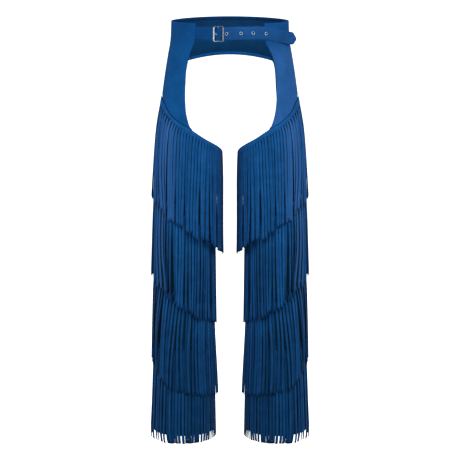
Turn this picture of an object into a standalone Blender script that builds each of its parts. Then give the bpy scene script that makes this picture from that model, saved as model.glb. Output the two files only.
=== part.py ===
"""Fringed suede chaps: a back yoke, two hip panels and a leg tube on each side, four tiers of
fringe round each leg, and a strap with eyelets that closes the front through a centre-bar buckle.

Every panel is a thin wall laid on one simple figure: an ellipse at the waist that parts, below the
hips, into one ellipse for each leg. Metres. Z is up, the front faces -Y and +X is the wearer's left.
Z = 0 is the middle of the strap at the front of the waist.
"""
import math
from bisect import bisect_right

import bmesh
import bpy
from mathutils import Matrix, Vector

NAME = "fringed_suede_chaps"

# The figure: where a section's ellipse has its centre, how far out its side reaches, half its depth.
FIGURE = (
    # height, centre, reach, half_depth
    (0.026, 0.0000, 0.1412, 0.1010),
    (-0.020, 0.0000, 0.1432, 0.1015),
    (-0.060, 0.0000, 0.1497, 0.1030),
    (-0.100, 0.0000, 0.1563, 0.1050),
    (-0.160, 0.0410, 0.1645, 0.1040),
    (-0.220, 0.0780, 0.1720, 0.0990),
    (-0.260, 0.0930, 0.1755, 0.0955),
    (-0.300, 0.0990, 0.1780, 0.0920),
    (-0.360, 0.1046, 0.1805, 0.0880),
    (-0.420, 0.1082, 0.1820, 0.0850),
    (-0.480, 0.1108, 0.1830, 0.0825),
    (-0.600, 0.1128, 0.1840, 0.0795),
    (-0.800, 0.1135, 0.1850, 0.0770),
    (-1.000, 0.1155, 0.1885, 0.0760),
)

# Panels
SUEDE = 0.0015               # thickness
SEAM_GAP = 0.0003            # between two pieces that are sewn together
WAIST_TOP = 0.0215           # height of the top edge at the front and the sides
BACK_RISE = 0.0025           # how much higher it is at the middle of the back
YOKE_DEPTH = 0.0915          # from WAIST_TOP to the yoke's lower edge at the middle of the back
YOKE_CURVE = 1.15            # drop of that edge for each squared metre out
YOKE_REACH = 0.1535          # how far out the figure reaches at that edge
YOKE_CORNER = 0.104          # how far out a back hip panel begins
COLUMN = math.radians(15.0)  # between two upright rows of a wall
YOKE_FREE_COLUMNS = 5        # over half the free part of the yoke's lower edge
YOKE_ROWS = 4
HIP_ROWS = 8
LEG_ROWS = 12
LEG_ROW_GROWTH = 1.3         # 1 for even rows, more for closer ones at the top
HEM = -0.989

# The free edges beside the front and the seat opening: how far out they are at each height.
FRONT_EDGE = (
    # height, out
    (0.0240, 0.0830),
    (0.0000, 0.0825),
    (-0.0200, 0.0840),
    (-0.0410, 0.0925),
    (-0.0645, 0.1000),
    (-0.0920, 0.1045),
    (-0.1500, 0.1078),
    (-0.1790, 0.1064),
    (-0.2170, 0.0984),
    (-0.2400, 0.0850),
)
BACK_EDGE = (
    # height, out
    (-0.0800, 0.1035),
    (-0.0950, 0.1085),
    (-0.1200, 0.1125),
    (-0.1800, 0.1155),
    (-0.2280, 0.1105),
    (-0.2540, 0.1000),
    (-0.2800, 0.0800),
)

# Fringe: the line each tier is sewn along, by the angle round the leg from its outer side (degrees).
TIER_SEAMS = (
    # angle, first, second, third, fourth
    (0.0, -0.158, -0.353, -0.558, -0.759),
    (20.0, -0.171, -0.367, -0.571, -0.759),
    (40.0, -0.195, -0.382, -0.590, -0.760),
    (60.0, -0.2135, -0.402, -0.609, -0.761),
    (85.0, -0.2315, -0.424, -0.634, -0.761),
    (113.0, -0.254, -0.449, -0.643, -0.760),
    (150.0, -0.2795, -0.465, -0.650, -0.758),
    (180.0, -0.300, -0.4754, -0.654, -0.757),
)
TIER_COUNT = 4
SEAT_DROP = 0.030            # how much lower the first line is at the back's middle
FRINGE_LENGTH = 0.245
FRINGE_WALL = 0.0025
FRINGE_ROWS = 4
FRINGE_STANDOFF = 0.0008     # from the leg at the seam
FRINGE_FLARE = 0.0070        # more than that at the ends
FLARE_OVER_LEG = 0.4         # share of the flare kept where a fuller leg pushes the ends out

# Facings inside the yoke
FACING_WIDTH = 0.0070
FACING_WALL = 0.0010

# Strap. Places across the waist are positive to the wearer's left.
STRAP_WIDTH = 0.0305
STRAP_WALL = 0.0018
STRAP_START = -0.103         # where it is sewn inside the right front panel
STRAP_RISES = (-0.079, -0.0415)    # where it comes out from behind that panel, start and end
STRAP_SINK = -0.0027         # its middle's place outside the waist, behind that panel
STRAP_LEAVES_HIP = 0.115     # from here on it runs straight, off the hip
STRAP_TIP_REACH = 0.1585
STRAP_POINT = 0.0105         # length of the pointed end
STRAP_TIP_SHARE = 0.12       # width of the blunt tip as a share of the strap's
PANEL_EDGE = 0.083           # free edges of both front panels at the waist
LEVEL_INSIDE = 0.0150        # height at which the panels' section is taken, behind the right one
LEVEL_OUTSIDE = -0.0300      # and in front of the left one
STEP = 0.002                 # between points of the strap's line
STEP_AT_BUCKLE = 0.0004
CREASE = 0.0080              # between the flat strap's creases
CREASE_AT_BUCKLE = 0.0016
WAVE_HALF = 0.0094           # half the length of the wave that the strap makes over the centre bar
WAVE_MIDDLE = 0.0012
WAVE_RISE = 0.0038
WAVE_FLAT = 0.4              # 0 for a plain wave, more for flatter tops

# Buckle and prong
BUCKLE_AT = -0.0275          # place of the centre bar across the waist
BUCKLE_STANDOFF = 0.0038     # of its middle from the waist
BUCKLE_LENGTH = 0.0262
BUCKLE_HEIGHT = 0.0362
BUCKLE_DEPTH = 0.0028
BUCKLE_SIDE_BAR = 0.0045     # width of the two upright bars
BUCKLE_END_BAR = 0.0022      # width of the top and bottom bars
BUCKLE_CORNER = 0.0035
BUCKLE_EDGE_ROUND = 0.0008
CENTRE_BAR_RADIUS = 0.0012
ROUND_SIDES = 16             # faces round the centre bar, and round an eyelet
PRONG_RADIUS = 0.0010
PRONG_REACH = 0.0124
PRONG_LOOP = (-150.0, 90.0)  # where its loop round the centre bar starts and ends, in degrees
PRONG_LOOP_STEPS = 14
PRONG_PIN_STEPS = 7

# Tab that holds the buckle
TAB_HEIGHT = 0.0280
TAB_WALL = 0.0026            # both layers together
TAB_START = 0.009            # from the centre bar to where the two layers meet
TAB_END = 0.103
TAB_OFFSET = -0.0031         # of its middle from the waist
TAB_STEPS = 16
TAB_EYE = 0.0016             # radius of the fold, inside
TAB_LOOP = 0.0030            # and outside
TAB_FOLD = (-30.0, 190.0)    # where the outside of the fold starts and ends, in degrees
TAB_FOLD_STEPS = 10
TAB_THROAT = -110.0          # and where it is closed against the band
TAB_EYE_STEPS = 14
SLOT_LENGTH = 0.0110         # slot in the fold that lets the prong turn
SLOT_DEPTH = 0.0140
SLOT_HEIGHT = 0.0062
SLOT_SHIFT = -0.0022

# How the strap's middle line drops from the front to its tip
STRAP_DROP = (
    # out, height
    (-0.1030, -0.0020),
    (-0.0300, -0.0016),
    (0.0200, 0.0000),
    (0.0600, 0.0000),
    (0.0853, -0.0020),
    (0.1150, -0.0100),
    (0.1600, -0.0210),
)
EYELETS_AT = (-0.0083, 0.0260, 0.0546, 0.0853)
PRONG_HOLE_FROM_BAR = -0.0049
TIP_HOLE_FROM_END = 0.0175
TIP_HOLE_RISE = 0.0035
TIP_HOLE_RADIUS = 0.0015
HOLE_RADIUS = 0.0030
HOLE_SIDES = 12
CUTTER_DEPTH = 0.02
EYELET_OUTER = 0.0042
EYELET_INNER = 0.0022
EYELET_HEIGHT = 0.0008
EYELET_SECTION_SIDES = 6

COLOURS = {
    # red, green, blue (linear), roughness, metallic
    "suede": (0.008, 0.068, 0.220, 0.95, 0.0),
    "suede_inside": (0.008, 0.038, 0.095, 0.95, 0.0),
    "fringe": (0.008, 0.055, 0.165, 0.95, 0.0),
    "strap": (0.012, 0.075, 0.240, 0.90, 0.0),
    "nickel": (0.62, 0.64, 0.66, 0.25, 1.0),
}

SIDES = (("left", 1.0), ("right", -1.0))


# ---------------------------------------------------------------------------
# Reading the tables

def smooth_read(table, column, key):
    """The value of a column at a key, on a smooth curve through the rows that never overshoots."""
    rows = sorted(table)
    keys = [row[0] for row in rows]
    values = [row[column] for row in rows]
    key = min(max(key, keys[0]), keys[-1])
    steps = [(values[i + 1] - values[i]) / (keys[i + 1] - keys[i]) for i in range(len(keys) - 1)]
    slopes = [steps[0]]
    for before, after in zip(steps, steps[1:]):
        same_way = before * after > 0.0
        slopes.append(2.0 * before * after / (before + after) if same_way else 0.0)
    slopes.append(steps[-1])
    i = min(bisect_right(keys, key) - 1, len(keys) - 2)
    width = keys[i + 1] - keys[i]
    t = (key - keys[i]) / width
    start = values[i] * (1 + 2 * t) * (1 - t) ** 2 + slopes[i] * width * t * (1 - t) ** 2
    end = values[i + 1] * t * t * (3 - 2 * t) - slopes[i + 1] * width * t * t * (1 - t)
    return start + end


def section(height):
    """Centre, half width and half depth of a leg's ellipse."""
    centre = smooth_read(FIGURE, 1, height)
    reach = smooth_read(FIGURE, 2, height)
    return centre, reach - centre, smooth_read(FIGURE, 3, height)


def skin(angle, height, out, front):
    """A point on the wearer's left leg or hip. The angle runs from the outer side (0) over the
    front (front=1) or the back (front=-1) to the inner side (180 degrees)."""
    centre, half_width, half_depth = section(height)
    across = math.cos(angle)
    along = -front * math.sin(angle)
    normal = Vector((across / half_width, along / half_depth, 0.0)).normalized()
    return Vector((centre + half_width * across, half_depth * along, height)) + normal * out


def edge_angle(table, height):
    """The angle round the hip at which a free edge lies."""
    centre, half_width, _ = section(height)
    return math.acos((smooth_read(table, 1, height) - centre) / half_width)


def tier_seam(tier, angle, front):
    """Height of the line that a tier of fringe hangs from. Over the seat the first one is lower."""
    height = smooth_read(TIER_SEAMS, tier + 1, math.degrees(angle))
    if tier == 0 and front < 0:
        height -= SEAT_DROP * math.sin(angle)
    return height


def hip_corner(table, front):
    """Angle and height at which a free edge comes down to the first seam."""
    high, low = -0.16, table[-1][0]
    for _ in range(40):
        middle = (high + low) / 2
        if middle > tier_seam(0, edge_angle(table, middle), front):
            high = middle
        else:
            low = middle
    return edge_angle(table, high), high


def yoke_bottom(angle):
    """Height of the yoke's lower edge, which is lowest at the sides."""
    out = YOKE_REACH * math.cos(angle)
    return WAIST_TOP - YOKE_DEPTH - YOKE_CURVE * out * out


# ---------------------------------------------------------------------------
# Making objects

def new_collection(name):
    collection = bpy.data.collections.new(name)
    bpy.context.scene.collection.children.link(collection)
    return collection


def material(name):
    red, green, blue, roughness, metallic = COLOURS[name]
    made = bpy.data.materials.get(name) or bpy.data.materials.new(name)
    made.use_nodes = True
    shader = made.node_tree.nodes["Principled BSDF"]
    shader.inputs["Base Color"].default_value = (red, green, blue, 1.0)
    shader.inputs["Roughness"].default_value = roughness
    shader.inputs["Metallic"].default_value = metallic
    return made


def add_object(name, bm, colour):
    """Turn a finished bmesh into one of the chaps' named pieces."""
    mesh = bpy.data.meshes.new(name)
    bm.to_mesh(mesh)
    bm.free()
    mesh.materials.append(material(colour))
    piece = bpy.data.objects.new(name, mesh)
    PARTS.objects.link(piece)
    return piece


def draped_wall(angles, rows, place, thickness, side=1.0, ring=False):
    """A wall laid on the figure from two flat grids, its outer and its inner face. place gives the
    point at an angle, a share of the way down and a distance out. A ring has no rim where it meets
    itself."""
    columns = len(angles) - 1
    bm = bmesh.new()
    faces = []
    for out in (0.0, -thickness):
        grid = bmesh.ops.create_grid(bm, x_segments=columns, y_segments=rows, size=0.5)["verts"]
        for vert in grid:
            column = round((vert.co.x + 0.5) * columns)
            point = place(angles[column], 0.5 - vert.co.y, out)
            vert.co = Vector((point.x * side, point.y, point.z))
        faces.append(grid)
    outer, inner = faces
    number = {vert: i for i, vert in enumerate(outer)}
    for edge in [edge for edge in bm.edges if edge.is_boundary and edge.verts[0] in number]:
        start, end = (number[vert] for vert in edge.verts)
        upright = start % (columns + 1) == end % (columns + 1)
        if not (ring and upright):
            bm.faces.new((outer[start], outer[end], inner[end], inner[start]))
    if ring:
        bmesh.ops.remove_doubles(bm, verts=bm.verts, dist=1e-6)
    bmesh.ops.recalc_face_normals(bm, faces=bm.faces)
    return bm


# ---------------------------------------------------------------------------
# Waist and hips

def seam_angle():
    """The gap between two panels at a side seam, as an angle."""
    return SEAM_GAP / FIGURE[0][3]


def hip_angles(corner_angle):
    """Angles of a hip panel's upright rows at its lower edge. They match the leg panel's, and none
    of these is nearer to the corner than a third of a column."""
    whole = int((corner_angle - COLUMN / 3) / COLUMN)
    return [seam_angle() / 2] + [COLUMN * i for i in range(1, whole + 1)] + [corner_angle]


def yoke_angles():
    """Angles of the yoke's upright rows, over one half. They match the back hip panel's."""
    corner_angle, _ = hip_corner(BACK_EDGE, -1.0)
    yoke_corner = math.acos(YOKE_CORNER / YOKE_REACH)
    beside_hip = [angle * yoke_corner / corner_angle for angle in hip_angles(corner_angle)]
    step = (math.pi / 2 - yoke_corner) / YOKE_FREE_COLUMNS
    return beside_hip, [yoke_corner + step * i for i in range(1, YOKE_FREE_COLUMNS + 1)]


def yoke_top(angle):
    return WAIST_TOP + BACK_RISE * math.sin(angle) ** 2


def make_yoke():
    """The yoke goes round the back of the waist, from side seam to side seam."""
    beside_hip, free = yoke_angles()
    half = beside_hip + free
    angles = half + [math.pi - angle for angle in reversed(half[:-1])]

    def place(angle, down, out):
        height = yoke_top(angle) + (yoke_bottom(angle) - yoke_top(angle)) * down
        return skin(angle, height, out, -1.0)

    add_object("back_yoke", draped_wall(angles, YOKE_ROWS, place, SUEDE), "suede_inside")


def make_facings():
    """Narrow facings run inside the yoke's top edge and inside the free part of its lower edge."""
    beside_hip, free = yoke_angles()
    inside = -(SUEDE + SEAM_GAP)
    for edge, half in (("top", beside_hip[1:] + free), ("bottom", beside_hip[-1:] + free)):
        angles = half + [math.pi - angle for angle in reversed(half[:-1])]

        def place(angle, down, out):
            upper = yoke_top(angle) if edge == "top" else yoke_bottom(angle) + FACING_WIDTH
            return skin(angle, upper - FACING_WIDTH * down, inside + out, -1.0)

        add_object(f"yoke_{edge}_facing", draped_wall(angles, 1, place, FACING_WALL), "suede")


def make_hip_panels(side_name, side):
    """Front and back hip panels, from the side seam to the free edges, down to the first seam."""
    for front, name, table in ((1.0, "front", FRONT_EDGE), (-1.0, "back", BACK_EDGE)):
        corner_angle, corner_height = hip_corner(table, front)
        edge_top = WAIST_TOP
        if front < 0:
            edge_top = yoke_bottom(math.acos(YOKE_CORNER / YOKE_REACH)) - SEAM_GAP

        def place(low_angle, down, out):
            edge_height = edge_top + (corner_height - edge_top) * down
            angle = low_angle * edge_angle(table, edge_height) / corner_angle
            top = edge_top
            if front < 0:
                top = yoke_bottom(low_angle * edge_angle(table, edge_top) / corner_angle) - SEAM_GAP
            bottom = tier_seam(0, low_angle, front) + SEAM_GAP / 2
            return skin(angle, top + (bottom - top) * down, out, front)

        bm = draped_wall(hip_angles(corner_angle), HIP_ROWS, place, SUEDE, side)
        add_object(f"{name}_hip_{side_name}", bm, "suede")


# ---------------------------------------------------------------------------
# Legs and fringe

def make_leg_panels(side_name, side):
    """Front and back leg panels, seamed at the outer and the inner side, from seam to hem."""
    angles = [COLUMN * i for i in range(13)]
    angles[0] = seam_angle() / 2
    angles[-1] = math.pi - seam_angle() / 2
    for front, name in ((1.0, "front"), (-1.0, "back")):
        def place(angle, down, out):
            top = tier_seam(0, angle, front) - SEAM_GAP / 2
            return skin(angle, top + (HEM - top) * down ** LEG_ROW_GROWTH, out, front)

        bm = draped_wall(angles, LEG_ROWS, place, SUEDE, side)
        add_object(f"{name}_leg_{side_name}", bm, "suede")


def hanging_point(tier, angle, front, down):
    """A point on a tier's inner face. The fringe hangs straight down from its seam, and is pushed
    out where the leg below is fuller. It stands off the leg more towards its ends."""
    seam = tier_seam(tier, angle, front)
    height = seam - FRINGE_LENGTH * down
    _, half_width, half_depth = section(seam)
    normal = Vector((math.cos(angle) / half_width, -front * math.sin(angle) / half_depth, 0.0))
    normal.normalize()
    here = skin(angle, height, FRINGE_STANDOFF + FRINGE_FLARE * down, front)
    furthest = max(
        skin(angle, seam + (height - seam) * step / FRINGE_ROWS, FRINGE_STANDOFF, front).dot(normal)
        for step in range(FRINGE_ROWS + 1)
    )
    slack = max(0.0, furthest + FRINGE_FLARE * FLARE_OVER_LEG * down - here.dot(normal))
    return here + normal * slack


def make_fringe(side_name, side):
    """Each tier is one plain skirt of the fringe's reach, right round the leg."""
    for tier in range(TIER_COUNT):
        def place(turn, down, out):
            front = 1.0 if turn <= math.pi else -1.0
            angle = turn if turn <= math.pi else 2 * math.pi - turn
            inner = hanging_point(tier, angle, front, down)
            centre, half_width, half_depth = section(inner.z)
            outward = Vector(((inner.x - centre) / half_width ** 2, inner.y / half_depth ** 2, 0.0))
            return inner + outward.normalized() * (FRINGE_WALL + out)

        angles = [COLUMN * i for i in range(25)]
        bm = draped_wall(angles, FRINGE_ROWS, place, FRINGE_WALL, side, ring=True)
        add_object(f"fringe_{tier + 1}_{side_name}", bm, "fringe")


# ---------------------------------------------------------------------------
# Strap, tab and buckle

def waist_point(out, offset, level):
    """A point at the front of the waist and its outward normal, so far outside (or inside) the
    panels' face at a level. The panels flare downwards, so the level says which face is meant."""
    _, half_width, half_depth = section(level)
    depth = half_depth * math.sqrt(1.0 - (out / half_width) ** 2)
    normal = Vector((out / half_width ** 2, -depth / half_depth ** 2, 0.0)).normalized()
    return Vector((out, -depth, 0.0)) + normal * offset, normal


def strap_level(out):
    """The strap clears the narrow top of the right panel from inside and the wide stretch under its
    own lower edge on the left panel from outside."""
    share = (out + PANEL_EDGE) / (2 * PANEL_EDGE)
    return LEVEL_INSIDE + (LEVEL_OUTSIDE - LEVEL_INSIDE) * min(max(share, 0.0), 1.0)


def ease(t):
    t = min(max(t, 0.0), 1.0)
    return t * t * (3 - 2 * t)


def strap_offset(out):
    """How far the strap's middle lies outside the waist: behind the right front panel, under the
    buckle's side bars, over its centre bar and outside the left front panel."""
    outside = SEAM_GAP + STRAP_WALL / 2
    from_bar = out - BUCKLE_AT
    if abs(from_bar) < WAVE_HALF:
        swing = math.cos(math.pi * from_bar / WAVE_HALF)
        swing *= 1.0 + WAVE_FLAT * (1.0 - swing * swing)
        return BUCKLE_STANDOFF + WAVE_MIDDLE + WAVE_RISE * swing
    if from_bar < 0:
        start, end = STRAP_RISES
        return STRAP_SINK + (outside - STRAP_SINK) * ease((out - start) / (end - start))
    return outside


def strap_line():
    """Points and outward normals of the strap's middle line, with the length up to each."""
    outs = []
    out = STRAP_START
    while out < STRAP_LEAVES_HIP:
        outs.append(out)
        near_buckle = abs(out - BUCKLE_AT) < WAVE_HALF + STEP
        out += STEP_AT_BUCKLE if near_buckle else STEP
    points = [waist_point(x, strap_offset(x), strap_level(x))[0] for x in outs]
    heading = (points[-1] - points[-2]).normalized()
    while points[-1].x < STRAP_TIP_REACH:
        points.append(points[-1] + heading * STEP)
    stations = []
    run = 0.0
    for i, point in enumerate(points):
        before = points[max(i - 1, 0)]
        after = points[min(i + 1, len(points) - 1)]
        run += (point - before).length
        ahead = (after - before).normalized()
        height = smooth_read(STRAP_DROP, 1, point.x)
        stations.append((run, Vector((point.x, point.y, height)), Vector((ahead.y, -ahead.x, 0.0))))
    return stations


def along_strap(stations, run):
    """Point and outward normal at a length along the strap."""
    runs = [station[0] for station in stations]
    i = min(max(bisect_right(runs, run) - 1, 0), len(runs) - 2)
    t = (run - runs[i]) / (runs[i + 1] - runs[i])
    point = stations[i][1].lerp(stations[i + 1][1], t)
    normal = stations[i][2].lerp(stations[i + 1][2], t).normalized()
    return point, normal


def run_at(stations, out):
    """Length along the strap where its middle line passes a place across the waist."""
    for before, after in zip(stations, stations[1:]):
        if before[1].x <= out <= after[1].x:
            t = (out - before[1].x) / (after[1].x - before[1].x)
            return before[0] + (after[0] - before[0]) * t
    raise ValueError("that place is not on the strap")


def cutting_places(stations, length):
    """Where the flat strap is creased: close together over the buckle, wide apart elsewhere."""
    first = run_at(stations, BUCKLE_AT - WAVE_HALF)
    last = run_at(stations, BUCKLE_AT + WAVE_HALF)
    places = []
    run = 0.0
    while run < length - CREASE / 2:
        near_buckle = first - CREASE_AT_BUCKLE < run < last + CREASE_AT_BUCKLE
        run += CREASE_AT_BUCKLE if near_buckle else CREASE
        places.append(run)
    return places


def flat_strap(stations):
    """The strap laid flat: length along X, width along Z, its face towards -Y, with its holes."""
    length = stations[-1][0]
    bm = bmesh.new()
    bmesh.ops.create_cube(bm, size=1.0)
    body = length - STRAP_POINT
    for vert in bm.verts:
        along = (vert.co.x + 0.5) * body
        vert.co = Vector((along, vert.co.y * STRAP_WALL, vert.co.z * STRAP_WIDTH))
    end = [face for face in bm.faces if face.normal.x > 0.9]
    grown = bmesh.ops.extrude_face_region(bm, geom=end)
    bmesh.ops.delete(bm, geom=end, context="FACES")
    for vert in (item for item in grown["geom"] if isinstance(item, bmesh.types.BMVert)):
        vert.co.x = length
        vert.co.z *= STRAP_TIP_SHARE
    for run in cutting_places(stations, length):
        bmesh.ops.bisect_plane(
            bm, geom=bm.verts[:] + bm.edges[:] + bm.faces[:],
            plane_co=(run, 0.0, 0.0), plane_no=(1.0, 0.0, 0.0))
    bmesh.ops.recalc_face_normals(bm, faces=bm.faces)
    strap = add_object("belt_strap", bm, "strap")

    prong_run = run_at(stations, BUCKLE_AT + PRONG_HOLE_FROM_BAR)
    holes = [(run_at(stations, x), 0.0, HOLE_RADIUS) for x in EYELETS_AT]
    holes.append((prong_run, 0.0, HOLE_RADIUS))
    holes.append((length - TIP_HOLE_FROM_END, TIP_HOLE_RISE, TIP_HOLE_RADIUS))
    bm = bmesh.new()
    for run, rise, radius in holes:
        turn = Matrix.Translation((run, 0.0, rise)) @ Matrix.Rotation(math.pi / 2, 4, "X")
        bmesh.ops.create_cone(bm, cap_ends=True, segments=HOLE_SIDES, radius1=radius,
                              radius2=radius, depth=CUTTER_DEPTH, matrix=turn)
    punch(strap, bm, "strap_hole_cutter")
    return strap


def punch(piece, bm, name):
    """Take a cutter's shape out of a piece, for good."""
    mesh = bpy.data.meshes.new(name)
    bm.to_mesh(mesh)
    bm.free()
    cutter = bpy.data.objects.new(name, mesh)
    cutter.hide_render = True
    cutter.display_type = "WIRE"
    CUTTERS.objects.link(cutter)
    cut = piece.modifiers.new("Punch", "BOOLEAN")
    cut.object = cutter
    cut.operation = "DIFFERENCE"
    settle(piece)


def settle(piece):
    """Keep a piece as its modifiers leave it."""
    bpy.context.view_layer.update()
    graph = bpy.context.evaluated_depsgraph_get()
    mesh = bpy.data.meshes.new_from_object(piece.evaluated_get(graph))
    piece.modifiers.clear()
    piece.data = mesh


def make_strap(stations):
    """The strap is punched flat, then bent round the waist and through the buckle."""
    strap = flat_strap(stations)
    bm = bmesh.new()
    bm.from_mesh(strap.data)
    bmesh.ops.triangulate(bm, faces=bm.faces)
    for vert in bm.verts:
        point, normal = along_strap(stations, vert.co.x)
        vert.co = point - normal * vert.co.y + Vector((0.0, 0.0, vert.co.z))
    bm.to_mesh(strap.data)
    bm.free()


def make_eyelets(stations):
    """Five pressed rings on the strap. The last one lets the prong through."""
    places = list(EYELETS_AT) + [BUCKLE_AT + PRONG_HOLE_FROM_BAR]
    for number, out in enumerate(places, start=1):
        point, normal = along_strap(stations, run_at(stations, out))
        bm = bmesh.new()
        middle = (EYELET_OUTER + EYELET_INNER) / 2
        width = (EYELET_OUTER - EYELET_INNER) / 2
        ring = []
        for step in range(EYELET_SECTION_SIDES):
            turn = 2 * math.pi * step / EYELET_SECTION_SIDES
            rise = EYELET_HEIGHT / 2 * (1 + math.sin(turn))
            ring.append(bm.verts.new((middle + width * math.cos(turn), 0.0, rise)))
        for start, end in zip(ring, ring[1:] + ring[:1]):
            bm.edges.new((start, end))
        bmesh.ops.spin(bm, geom=bm.verts[:] + bm.edges[:], axis=(0, 0, 1), cent=(0, 0, 0),
                       steps=ROUND_SIDES, angle=2 * math.pi, use_merge=True)
        bmesh.ops.recalc_face_normals(bm, faces=bm.faces)
        eyelet = add_object(f"eyelet_{number}", bm, "nickel")
        eyelet.location = point + normal * (STRAP_WALL / 2 + SEAM_GAP)
        eyelet.rotation_euler = normal.to_track_quat("Z", "Y").to_euler()


def rounded_rectangle(width, height, corner, corner_steps=4):
    """Corner arcs of a rectangle centred on the origin, as one closed outline."""
    points = []
    for quarter, (across, up) in enumerate(((1, 1), (-1, 1), (-1, -1), (1, -1))):
        for step in range(corner_steps + 1):
            turn = math.pi / 2 * (quarter + step / corner_steps)
            points.append((
                across * (width / 2 - corner) + corner * math.cos(turn),
                up * (height / 2 - corner) + corner * math.sin(turn),
            ))
    return points


def filled_outline(name, outlines, half_thickness, rounding):
    """A flat plate from closed outlines, the first one its edge and the others its windows."""
    curve = bpy.data.curves.new(name, "CURVE")
    curve.dimensions = "2D"
    curve.fill_mode = "BOTH"
    curve.extrude = half_thickness - rounding
    curve.bevel_depth = rounding
    curve.bevel_resolution = 1 if rounding else 0
    curve.offset = -rounding
    for outline in outlines:
        spline = curve.splines.new("POLY")
        spline.points.add(len(outline) - 1)
        for point, (x, y) in zip(spline.points, outline):
            point.co = (x, y, 0.0, 1.0)
        spline.use_cyclic_u = True
    guide = bpy.data.objects.new(name + "_outline", curve)
    CUTTERS.objects.link(guide)
    bpy.context.view_layer.update()
    graph = bpy.context.evaluated_depsgraph_get()
    mesh = bpy.data.meshes.new_from_object(guide.evaluated_get(graph))
    bpy.data.objects.remove(guide)
    bm = bmesh.new()
    bm.from_mesh(mesh)
    bpy.data.meshes.remove(mesh)
    bmesh.ops.remove_doubles(bm, verts=bm.verts, dist=1e-6)
    bmesh.ops.recalc_face_normals(bm, faces=bm.faces)
    return bm


def buckle_place():
    """Where the buckle sits: X along the strap, Y out of the frame's face, Z up."""
    point, normal = waist_point(BUCKLE_AT, BUCKLE_STANDOFF, strap_level(BUCKLE_AT))
    point.z = smooth_read(STRAP_DROP, 1, BUCKLE_AT)
    along = Vector((-normal.y, normal.x, 0.0))
    turn = Matrix((along, -normal, Vector((0, 0, 1)))).transposed().to_4x4()
    return Matrix.Translation(point) @ turn


def make_buckle():
    """A rounded rectangular frame with wide side bars, and a round centre bar across it."""
    window = (BUCKLE_LENGTH - 2 * BUCKLE_SIDE_BAR, BUCKLE_HEIGHT - 2 * BUCKLE_END_BAR)
    outlines = (
        rounded_rectangle(BUCKLE_LENGTH, BUCKLE_HEIGHT, BUCKLE_CORNER),
        rounded_rectangle(*window, BUCKLE_CORNER / 2),
    )
    bm = filled_outline("buckle_plate", outlines, BUCKLE_DEPTH / 2, BUCKLE_EDGE_ROUND)
    upright = Matrix.Rotation(math.pi / 2, 4, "X")
    bmesh.ops.transform(bm, matrix=upright, verts=bm.verts)
    frame = add_object("buckle_frame", bm, "nickel")
    bm = bmesh.new()
    bmesh.ops.create_cone(bm, cap_ends=True, segments=ROUND_SIDES, radius1=CENTRE_BAR_RADIUS,
                          radius2=CENTRE_BAR_RADIUS, depth=window[1] + BUCKLE_END_BAR)
    mesh = bpy.data.meshes.new("centre_bar")
    bm.to_mesh(mesh)
    bm.free()
    bar = bpy.data.objects.new("centre_bar", mesh)
    bar.hide_render = True
    bar.display_type = "WIRE"
    CUTTERS.objects.link(bar)
    join = frame.modifiers.new("Bar", "BOOLEAN")
    join.operation = "UNION"
    join.object = bar
    settle(frame)
    frame.matrix_world = buckle_place()


def make_prong():
    """The prong is a bent pin, looped round the centre bar, that rests on the first side bar."""
    loop = CENTRE_BAR_RADIUS + SEAM_GAP + PRONG_RADIUS
    path = []
    start, end = PRONG_LOOP
    for step in range(PRONG_LOOP_STEPS + 1):
        turn = math.radians(start + (end - start) * step / PRONG_LOOP_STEPS)
        path.append((loop * math.cos(turn), loop * math.sin(turn)))
    rest = BUCKLE_DEPTH / 2 + SEAM_GAP + PRONG_RADIUS
    for step in range(1, PRONG_PIN_STEPS + 1):
        t = step / PRONG_PIN_STEPS
        path.append((-PRONG_REACH * t, loop + (rest - loop) * ease(t)))
    curve = bpy.data.curves.new("buckle_prong", "CURVE")
    curve.dimensions = "3D"
    curve.bevel_depth = PRONG_RADIUS
    curve.bevel_resolution = 1
    curve.use_fill_caps = True
    curve.materials.append(material("nickel"))
    spline = curve.splines.new("POLY")
    spline.points.add(len(path) - 1)
    for point, (along, outward) in zip(spline.points, path):
        point.co = (along, -outward, 0.0, 1.0)
    prong = bpy.data.objects.new("buckle_prong", curve)
    PARTS.objects.link(prong)
    prong.matrix_world = buckle_place()


def round_the_bar(radius, turns):
    """Places across the waist and offsets from it, round the centre bar. Turns are in degrees."""
    return [
        (BUCKLE_AT + radius * math.cos(math.radians(turn)),
         BUCKLE_STANDOFF + radius * math.sin(math.radians(turn)))
        for turn in turns
    ]


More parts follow.
